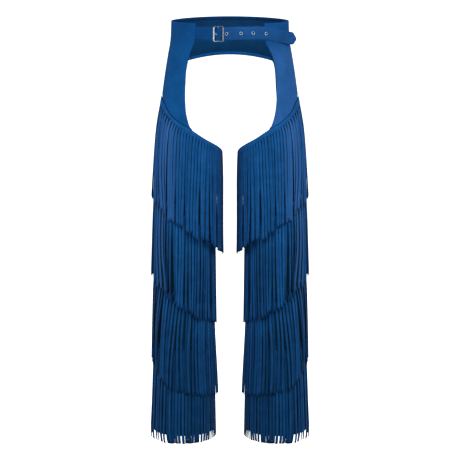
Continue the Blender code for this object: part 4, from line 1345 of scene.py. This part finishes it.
def strap_line():
    """Length along the strap, point and outward direction, from its sewn end to its tip."""
    outs = [STRAP_START]
    while outs[-1] < STRAP_LEAVES_HIP:
        near_bar = abs(outs[-1] - BUCKLE_AT) < WAVE_STEP_REACH
        outs.append(outs[-1] + (WAVE_STEP if near_bar else STRAP_STEP))
    points = [at_waist(out, strap_offset(out), strap_level(out))[0] for out in outs]
    heading = (points[-1] - points[-2]).normalized()
    while points[-1].x < STRAP_TIP_REACH:
        points.append(points[-1] + heading * STRAP_STEP)
    stations = []
    run = 0.0
    for i, point in enumerate(points):
        before = points[max(i - 1, 0)]
        after = points[min(i + 1, len(points) - 1)]
        run += (point - before).length
        ahead = (after - before).normalized()
        stations.append((run, Vector((point.x, point.y, strap_drop(point.x))),
                         Vector((ahead.y, -ahead.x, 0.0))))
    return stations


strap_stations = strap_line()
strap_runs = [station[0] for station in strap_stations]
strap_length = strap_runs[-1]


def on_strap(run, rise=0.0, out=0.0):
    """A point at a length along the strap, above its middle line and out from its middle."""
    i = min(max(bisect_right(strap_runs, run) - 1, 0), len(strap_runs) - 2)
    t = (run - strap_runs[i]) / (strap_runs[i + 1] - strap_runs[i])
    point = strap_stations[i][1].lerp(strap_stations[i + 1][1], t)
    normal = strap_stations[i][2].lerp(strap_stations[i + 1][2], t).normalized()
    return point + normal * out + Vector((0.0, 0.0, rise)), normal


def run_at(out):
    """Length along the strap up to a place across the waist."""
    for before, after in zip(strap_stations, strap_stations[1:]):
        if before[1].x <= out <= after[1].x:
            return before[0] + (after[0] - before[0]) * (out - before[1].x) / (after[1].x - before[1].x)
    raise ValueError("that place is not on the strap")


def settle(piece):
    """Keep a piece as its modifiers leave it."""
    bpy.context.view_layer.update()
    graph = bpy.context.evaluated_depsgraph_get()
    mesh = bpy.data.meshes.new_from_object(piece.evaluated_get(graph))
    piece.modifiers.clear()
    piece.data = mesh


def punch(piece, holes, depth):
    """Take round holes out of a flat piece. Each hole is its place along and through the piece, its
    height and its radius."""
    bm = bmesh.new()
    for along, through, height, radius in holes:
        turn = Matrix.Translation((along, through, height)) @ Matrix.Rotation(math.pi / 2, 4, "X")
        bmesh.ops.create_cone(bm, cap_ends=True, segments=28, radius1=radius, radius2=radius,
                              depth=depth, matrix=turn)
    mesh = bpy.data.meshes.new("punch")
    bm.to_mesh(mesh)
    bm.free()
    tool = bpy.data.objects.new("punch", mesh)
    bpy.context.scene.collection.objects.link(tool)
    cut = piece.modifiers.new("punch", "BOOLEAN")
    cut.object = tool
    cut.operation = "DIFFERENCE"
    settle(piece)
    bpy.data.objects.remove(tool)


bm = bmesh.new()
bmesh.ops.create_grid(bm, x_segments=2, y_segments=1, size=0.5)
for vert in bm.verts:
    if vert.co.x > 0.25:
        vert.co = (strap_length, -STRAP_WALL / 2, vert.co.y * STRAP_WIDTH * STRAP_TIP_SHARE)
    else:
        along = 0.0 if vert.co.x < -0.25 else strap_length - STRAP_POINT
        vert.co = (along, -STRAP_WALL / 2, vert.co.y * STRAP_WIDTH)
inner_edges = [edge for edge in bm.edges if len(edge.link_faces) == 2]
bmesh.ops.dissolve_edges(bm, edges=inner_edges, use_verts=False)
for reach, rounding in ((strap_length - STRAP_POINT, STRAP_SHOULDER), (strap_length, STRAP_TIP_ROUND)):
    corners = [vert for vert in bm.verts if abs(vert.co.x - reach) < 1e-6]
    bmesh.ops.bevel(bm, geom=corners, affect="VERTICES", offset=rounding, segments=5, profile=0.5,
                    material=-1)
grown = bmesh.ops.extrude_face_region(bm, geom=bm.faces[:], use_keep_orig=True)
bmesh.ops.translate(bm, verts=[item for item in grown["geom"] if isinstance(item, bmesh.types.BMVert)],
                    vec=(0.0, STRAP_WALL, 0.0))
bmesh.ops.recalc_face_normals(bm, faces=bm.faces)
rims = [edge for edge in bm.edges if abs(edge.verts[0].co.y - edge.verts[1].co.y) < 1e-6]
bmesh.ops.bevel(bm, geom=rims, affect="EDGES", offset=STRAP_ARRIS, segments=3, profile=0.5,
                material=-1)
bmesh.ops.recalc_face_normals(bm, faces=bm.faces)
strap_finish = suede("blue_suede_strap", (0.0075, 0.049, 0.162), (0.0100, 0.062, 0.198), 0.12)
# Painted shade: the strap is darker on the wearer's right of the buckle, fading out about 20 mm past it.
painted_shade_fade(strap_finish, "X", -0.034, -0.004, (0.38, 0.78, 0.86))
strap = new_piece("strap", bm, (strap_finish,))
prong_run = run_at(BUCKLE_AT + PRONG_HOLE_FROM_BAR)
holes = [(run_at(out), 0.0, 0.0, HOLE_RADIUS) for out in EYELETS_AT]
holes.append((prong_run, 0.0, 0.0, HOLE_RADIUS))
through_outer_layer = -PUNCH_DEPTH / 2 + STRAP_WALL * TIP_HOLE_DEPTH
holes.append((strap_length - TIP_HOLE_FROM_END, through_outer_layer, TIP_HOLE_RISE, TIP_HOLE_RADIUS))
punch(strap, holes, PUNCH_DEPTH)
bm = bmesh.new()
bm.from_mesh(strap.data)
run = 0.0
while run < strap_length - LAST_SLICE:
    near_buckle = abs(run - run_at(BUCKLE_AT)) < FINE_SLICE_REACH
    run += FINE_SLICE if near_buckle else SLICE
    bmesh.ops.bisect_plane(bm, geom=bm.verts[:] + bm.edges[:] + bm.faces[:],
                           plane_co=(run, 0.0, 0.0), plane_no=(1.0, 0.0, 0.0))
bmesh.ops.triangulate(bm, faces=[face for face in bm.faces if len(face.verts) > 4])
for vert in bm.verts:
    vert.co, _ = on_strap(vert.co.x, vert.co.z, -vert.co.y)
bm.to_mesh(strap.data)
bm.free()
strap.data.shade_smooth()
strap.data.set_sharp_from_angle(angle=math.radians(38))
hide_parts("belt_strap")

SEAM_FROM_EDGE = 0.0032
SEAM_START = 0.0040        # from its sewn end
SEAM_STOP = 0.0010         # short of where it narrows, before the last stitches to its tip
lines = []
for edge in (1.0, -1.0):
    rise = edge * (STRAP_WIDTH / 2 - SEAM_FROM_EDGE)
    stations = steps(SEAM_START, strap_length - STRAP_POINT - SEAM_STOP, 400)
    line = [on_strap(run, rise, STRAP_WALL / 2 + ON_FACE)[0] for run in stations]
    tip = on_strap(strap_length - SEAM_FROM_EDGE, 0.0, STRAP_WALL / 2 + ON_FACE)[0]
    lines.append(line + [tip])
strap_stitching = stitching("strap_stitching", lines)


# ---------------------------------------------------------------------------------------------
# Eyelets. Five pressed rings of nickelled brass, each with a rolled rim and a short neck through the
# strap. The one under the buckle lets the prong through.

nickel = bpy.data.materials.new("nickel_plate")
nickel.use_nodes = True
tree = nickel.node_tree
shader = tree.nodes["Principled BSDF"]
shader.inputs["Metallic"].default_value = 1.0
place = tree.nodes.new("ShaderNodeTexCoord")
tarnish = tree.nodes.new("ShaderNodeTexNoise")
tarnish.inputs["Scale"].default_value = 260.0
tarnish.inputs["Detail"].default_value = 4.0
tree.links.new(place.outputs["Object"], tarnish.inputs["Vector"])
plate = tree.nodes.new("ShaderNodeValToRGB")
plate.color_ramp.elements[0].position = 0.35
plate.color_ramp.elements[0].color = (0.22, 0.27, 0.29, 1.0)
plate.color_ramp.elements[1].position = 0.65
plate.color_ramp.elements[1].color = (0.38, 0.44, 0.46, 1.0)
tree.links.new(tarnish.outputs["Fac"], plate.inputs["Fac"])
tree.links.new(plate.outputs["Color"], shader.inputs["Base Color"])
polish = tree.nodes.new("ShaderNodeMapRange")
polish.inputs["To Min"].default_value = 0.16
polish.inputs["To Max"].default_value = 0.34
tree.links.new(tarnish.outputs["Fac"], polish.inputs["Value"])
tree.links.new(polish.outputs["Result"], shader.inputs["Roughness"])
wear = tree.nodes.new("ShaderNodeBump")
wear.inputs["Strength"].default_value = 0.08
wear.inputs["Distance"].default_value = 0.0003
tree.links.new(tarnish.outputs["Fac"], wear.inputs["Height"])
tree.links.new(wear.outputs["Normal"], shader.inputs["Normal"])

EYELET_PROFILE = (
    # radius, rise from the strap's face
    (0.0026, -0.0016),
    (0.0025, -0.0004),
    (0.0026, 0.0004),
    (0.0029, 0.0008),
    (0.0032, 0.0009),
    (0.0036, 0.0006),
    (0.0039, 0.0002),
    (0.0038, 0.0000),
    (0.0031, 0.0000),
    (0.0029, -0.0003),
    (0.0028, -0.0016),
)
EYELET_STANDOFF = 0.0001
for number, run in enumerate([run_at(out) for out in EYELETS_AT] + [prong_run], start=1):
    bm = bmesh.new()
    ring = [bm.verts.new((radius, 0.0, rise)) for radius, rise in EYELET_PROFILE]
    for start, end in zip(ring, ring[1:] + ring[:1]):
        bm.edges.new((start, end))
    bmesh.ops.spin(bm, geom=bm.verts[:] + bm.edges[:], axis=(0, 0, 1), cent=(0, 0, 0),
                   steps=36, angle=2 * math.pi, use_merge=True)
    bmesh.ops.recalc_face_normals(bm, faces=bm.faces)
    point, normal = on_strap(run, 0.0, STRAP_WALL / 2 + EYELET_STANDOFF)
    turn = normal.to_track_quat("Z", "Y").to_matrix().to_4x4()
    bmesh.ops.transform(bm, matrix=Matrix.Translation(point) @ turn, verts=bm.verts)
    ring = new_piece(f"ring_{number}", bm, (nickel,))
    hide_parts(f"eyelet_{number}")


# ---------------------------------------------------------------------------------------------
# Buckle. A cast frame with wide crowned side bars and a round centre bar, nickel plated, and a bent
# wire prong that is looped round the centre bar and rests on the first side bar.

BUCKLE_LENGTH = 0.0262
BUCKLE_HEIGHT = 0.0362
BUCKLE_DEPTH = 0.0028
SIDE_BAR = 0.0041
END_BAR = 0.0019
CORNER = 0.0035
CROWN = 0.00105            # bevel of its edges, which makes the bars round
CENTRE_BAR = 0.0012        # radius
PRONG = 0.0010             # radius
PRONG_TIP = 0.8            # share of that at its tip
PRONG_REACH = 0.0124
PRONG_LOOP = (-150.0, 90.0)        # degrees round the centre bar

origin, facing_out = at_waist(BUCKLE_AT, BUCKLE_STANDOFF, strap_level(BUCKLE_AT))
origin.z = strap_drop(BUCKLE_AT)
along = Vector((-facing_out.y, facing_out.x, 0.0))
buckle_turn = Matrix((along, -facing_out, Vector((0, 0, 1)))).transposed().to_4x4()
buckle_place = Matrix.Translation(origin) @ buckle_turn

# The frame's plate is a little lighter than the eyelets', with painted dark reflections on its top and
# bottom bars and on the side bar towards the wearer's left, fading across the window.
nickel_painted_reflections = nickel.copy()
nickel_painted_reflections.name = "nickel_plate_painted_reflections"
frame_plate = nickel_painted_reflections.node_tree.nodes[plate.name].color_ramp
frame_plate.elements[0].color = (0.26, 0.31, 0.33, 1.0)
frame_plate.elements[1].color = (0.42, 0.48, 0.50, 1.0)
half_length = BUCKLE_LENGTH / 2 - SIDE_BAR
half_height = BUCKLE_HEIGHT / 2 - END_BAR
PAINTED_REFLECTION_FADE = 0.0010
top_bar = origin.z + half_height
bottom_bar = origin.z - half_height
painted_shade_fade(nickel_painted_reflections, "X", origin.x + half_length, origin.x - half_length, (0.38, 0.40, 0.43))
painted_shade_fade(nickel_painted_reflections, "Z", top_bar, top_bar - PAINTED_REFLECTION_FADE, (0.20, 0.26, 0.34))
painted_shade_fade(nickel_painted_reflections, "Z", bottom_bar, bottom_bar + PAINTED_REFLECTION_FADE, (0.62, 0.66, 0.70))

bm = bmesh.new()
bmesh.ops.create_grid(bm, x_segments=1, y_segments=1, size=0.5)
bmesh.ops.scale(bm, verts=bm.verts, vec=(BUCKLE_LENGTH, BUCKLE_HEIGHT, 1.0))
bmesh.ops.bevel(bm, geom=bm.verts[:], affect="VERTICES", offset=CORNER, segments=7, profile=0.5,
                material=-1)
window = bmesh.ops.inset_region(bm, faces=bm.faces[:], thickness=END_BAR, use_boundary=True,
                                use_even_offset=True)
inner = [face for face in bm.faces if face not in window["faces"]]
inner_verts = list({vert for face in inner for vert in face.verts})
narrow = (BUCKLE_LENGTH - 2 * SIDE_BAR) / (BUCKLE_LENGTH - 2 * END_BAR)
bmesh.ops.scale(bm, verts=inner_verts, vec=(narrow, 1.0, 1.0))
bmesh.ops.delete(bm, geom=inner, context="FACES_ONLY")
raised = bmesh.ops.extrude_face_region(bm, geom=bm.faces[:], use_keep_orig=True)
bmesh.ops.translate(bm, verts=[item for item in raised["geom"] if isinstance(item, bmesh.types.BMVert)],
                    vec=(0.0, 0.0, BUCKLE_DEPTH))
bmesh.ops.translate(bm, verts=bm.verts, vec=(0.0, 0.0, -BUCKLE_DEPTH / 2))
bmesh.ops.recalc_face_normals(bm, faces=bm.faces)
arrises = [edge for edge in bm.edges if len(edge.link_faces) == 2 and edge.calc_face_angle() > 1.0]
bmesh.ops.bevel(bm, geom=arrises, affect="EDGES", offset=CROWN, segments=4, profile=0.5, material=-1)
bmesh.ops.create_cone(bm, cap_ends=True, segments=24, radius1=CENTRE_BAR, radius2=CENTRE_BAR,
                      depth=BUCKLE_HEIGHT - END_BAR, matrix=Matrix.Rotation(math.pi / 2, 4, "X"))
bmesh.ops.transform(bm, matrix=buckle_place @ Matrix.Rotation(math.pi / 2, 4, "X"), verts=bm.verts)
buckle = new_piece("buckle", bm, (nickel_painted_reflections,))
buckle.data.set_sharp_from_angle(angle=math.radians(50))
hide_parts("buckle_frame")

loop = CENTRE_BAR + SEAM_GAP + PRONG
path = [(loop * math.cos(math.radians(turn)), loop * math.sin(math.radians(turn)))
        for turn in steps(*PRONG_LOOP, 20)]
rest = BUCKLE_DEPTH / 2 + SEAM_GAP + PRONG
path += [(-PRONG_REACH * share, loop + (rest - loop) * ease(share)) for share in steps(0.0, 1.0, 10)[1:]]
wire = bpy.data.curves.new("prong_wire", "CURVE")
wire.dimensions = "3D"
wire.bevel_depth = PRONG
wire.bevel_resolution = 3
wire.use_fill_caps = True
spline = wire.splines.new("POLY")
spline.points.add(len(path) - 1)
for number, (point, (reach, outward)) in enumerate(zip(spline.points, path)):
    point.co = (reach, -outward, 0.0, 1.0)
    point.radius = 1.0 if number < len(path) - 2 else PRONG_TIP
wire_object = bpy.data.objects.new("prong_wire", wire)
bpy.context.scene.collection.objects.link(wire_object)
bpy.context.view_layer.update()
bm = bmesh.new()
bm.from_mesh(wire_object.to_mesh())
bpy.data.objects.remove(wire_object)
bmesh.ops.remove_doubles(bm, verts=bm.verts, dist=1e-6)
bmesh.ops.recalc_face_normals(bm, faces=bm.faces)
bmesh.ops.transform(bm, matrix=buckle_place, verts=bm.verts)
prong = new_piece("prong", bm, (nickel,))
prong.data.set_sharp_from_angle(angle=math.radians(50))
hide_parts("buckle_prong")


# ---------------------------------------------------------------------------------------------
# Buckle tab. A narrower strap of suede folded round the centre bar, with a slot in its fold for the
# prong. Both its layers are sewn together inside the left front panel.

TAB_HEIGHT = 0.0280
TAB_LAYER = 0.0012
TAB_START = 0.009
TAB_END = 0.103
TAB_OFFSET = -0.0031
TAB_LAYER_GAP = 0.0002
TAB_FOLD_RADIUS = 0.002125
TAB_FOLD = (-100.0, -325.0)        # degrees round the centre bar
TAB_LEVEL_RUN = 0.0040     # it comes to the panel's level so far behind the fold
TAB_ROWS = 9               # of its mesh, of which the slot takes the middle one

offsets = [(BUCKLE_AT + TAB_START + (TAB_END - BUCKLE_AT - TAB_START) * (1 - share),
            TAB_OFFSET - TAB_LAYER / 2) for share in steps(0.0, 1.0, 40)]
fold = [(BUCKLE_AT + TAB_FOLD_RADIUS * math.cos(math.radians(turn)),
         BUCKLE_STANDOFF + TAB_FOLD_RADIUS * math.sin(math.radians(turn)))
        for turn in steps(*TAB_FOLD, 18)]
back = [(out, offset + TAB_LAYER + TAB_LAYER_GAP) for out, offset in reversed(offsets)]
tab_path = []
for out, offset in offsets + fold + back:
    near = ease((out - BUCKLE_AT) / (TAB_START + TAB_LEVEL_RUN))
    level = strap_level(BUCKLE_AT) + (LEVEL_INSIDE - strap_level(BUCKLE_AT)) * near
    tab_path.append(at_waist(out, offset, level)[0])
bm = bmesh.new()
grid = bmesh.ops.create_grid(bm, x_segments=len(tab_path) - 1, y_segments=TAB_ROWS, size=0.5)["verts"]
slot_faces = []
first = len(offsets)
for face in bm.faces:
    middle = face.calc_center_median()
    column = (middle.x + 0.5) * (len(tab_path) - 1)
    in_middle_row = abs(middle.y) * TAB_ROWS < 0.5
    if in_middle_row and first + 1 < column < first + len(fold) - 2:
        slot_faces.append(face)
for vert in grid:
    point = tab_path[round((vert.co.x + 0.5) * (len(tab_path) - 1))]
    vert.co = (point.x, point.y, strap_drop(BUCKLE_AT) + vert.co.y * TAB_HEIGHT)
bmesh.ops.delete(bm, geom=slot_faces, context="FACES")
bm.normal_update()
tab = new_piece("tab", bm, (strap_finish,))
wall = tab.modifiers.new("wall", "SOLIDIFY")
wall.thickness = TAB_LAYER
wall.offset = 0.0
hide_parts("buckle_tab")
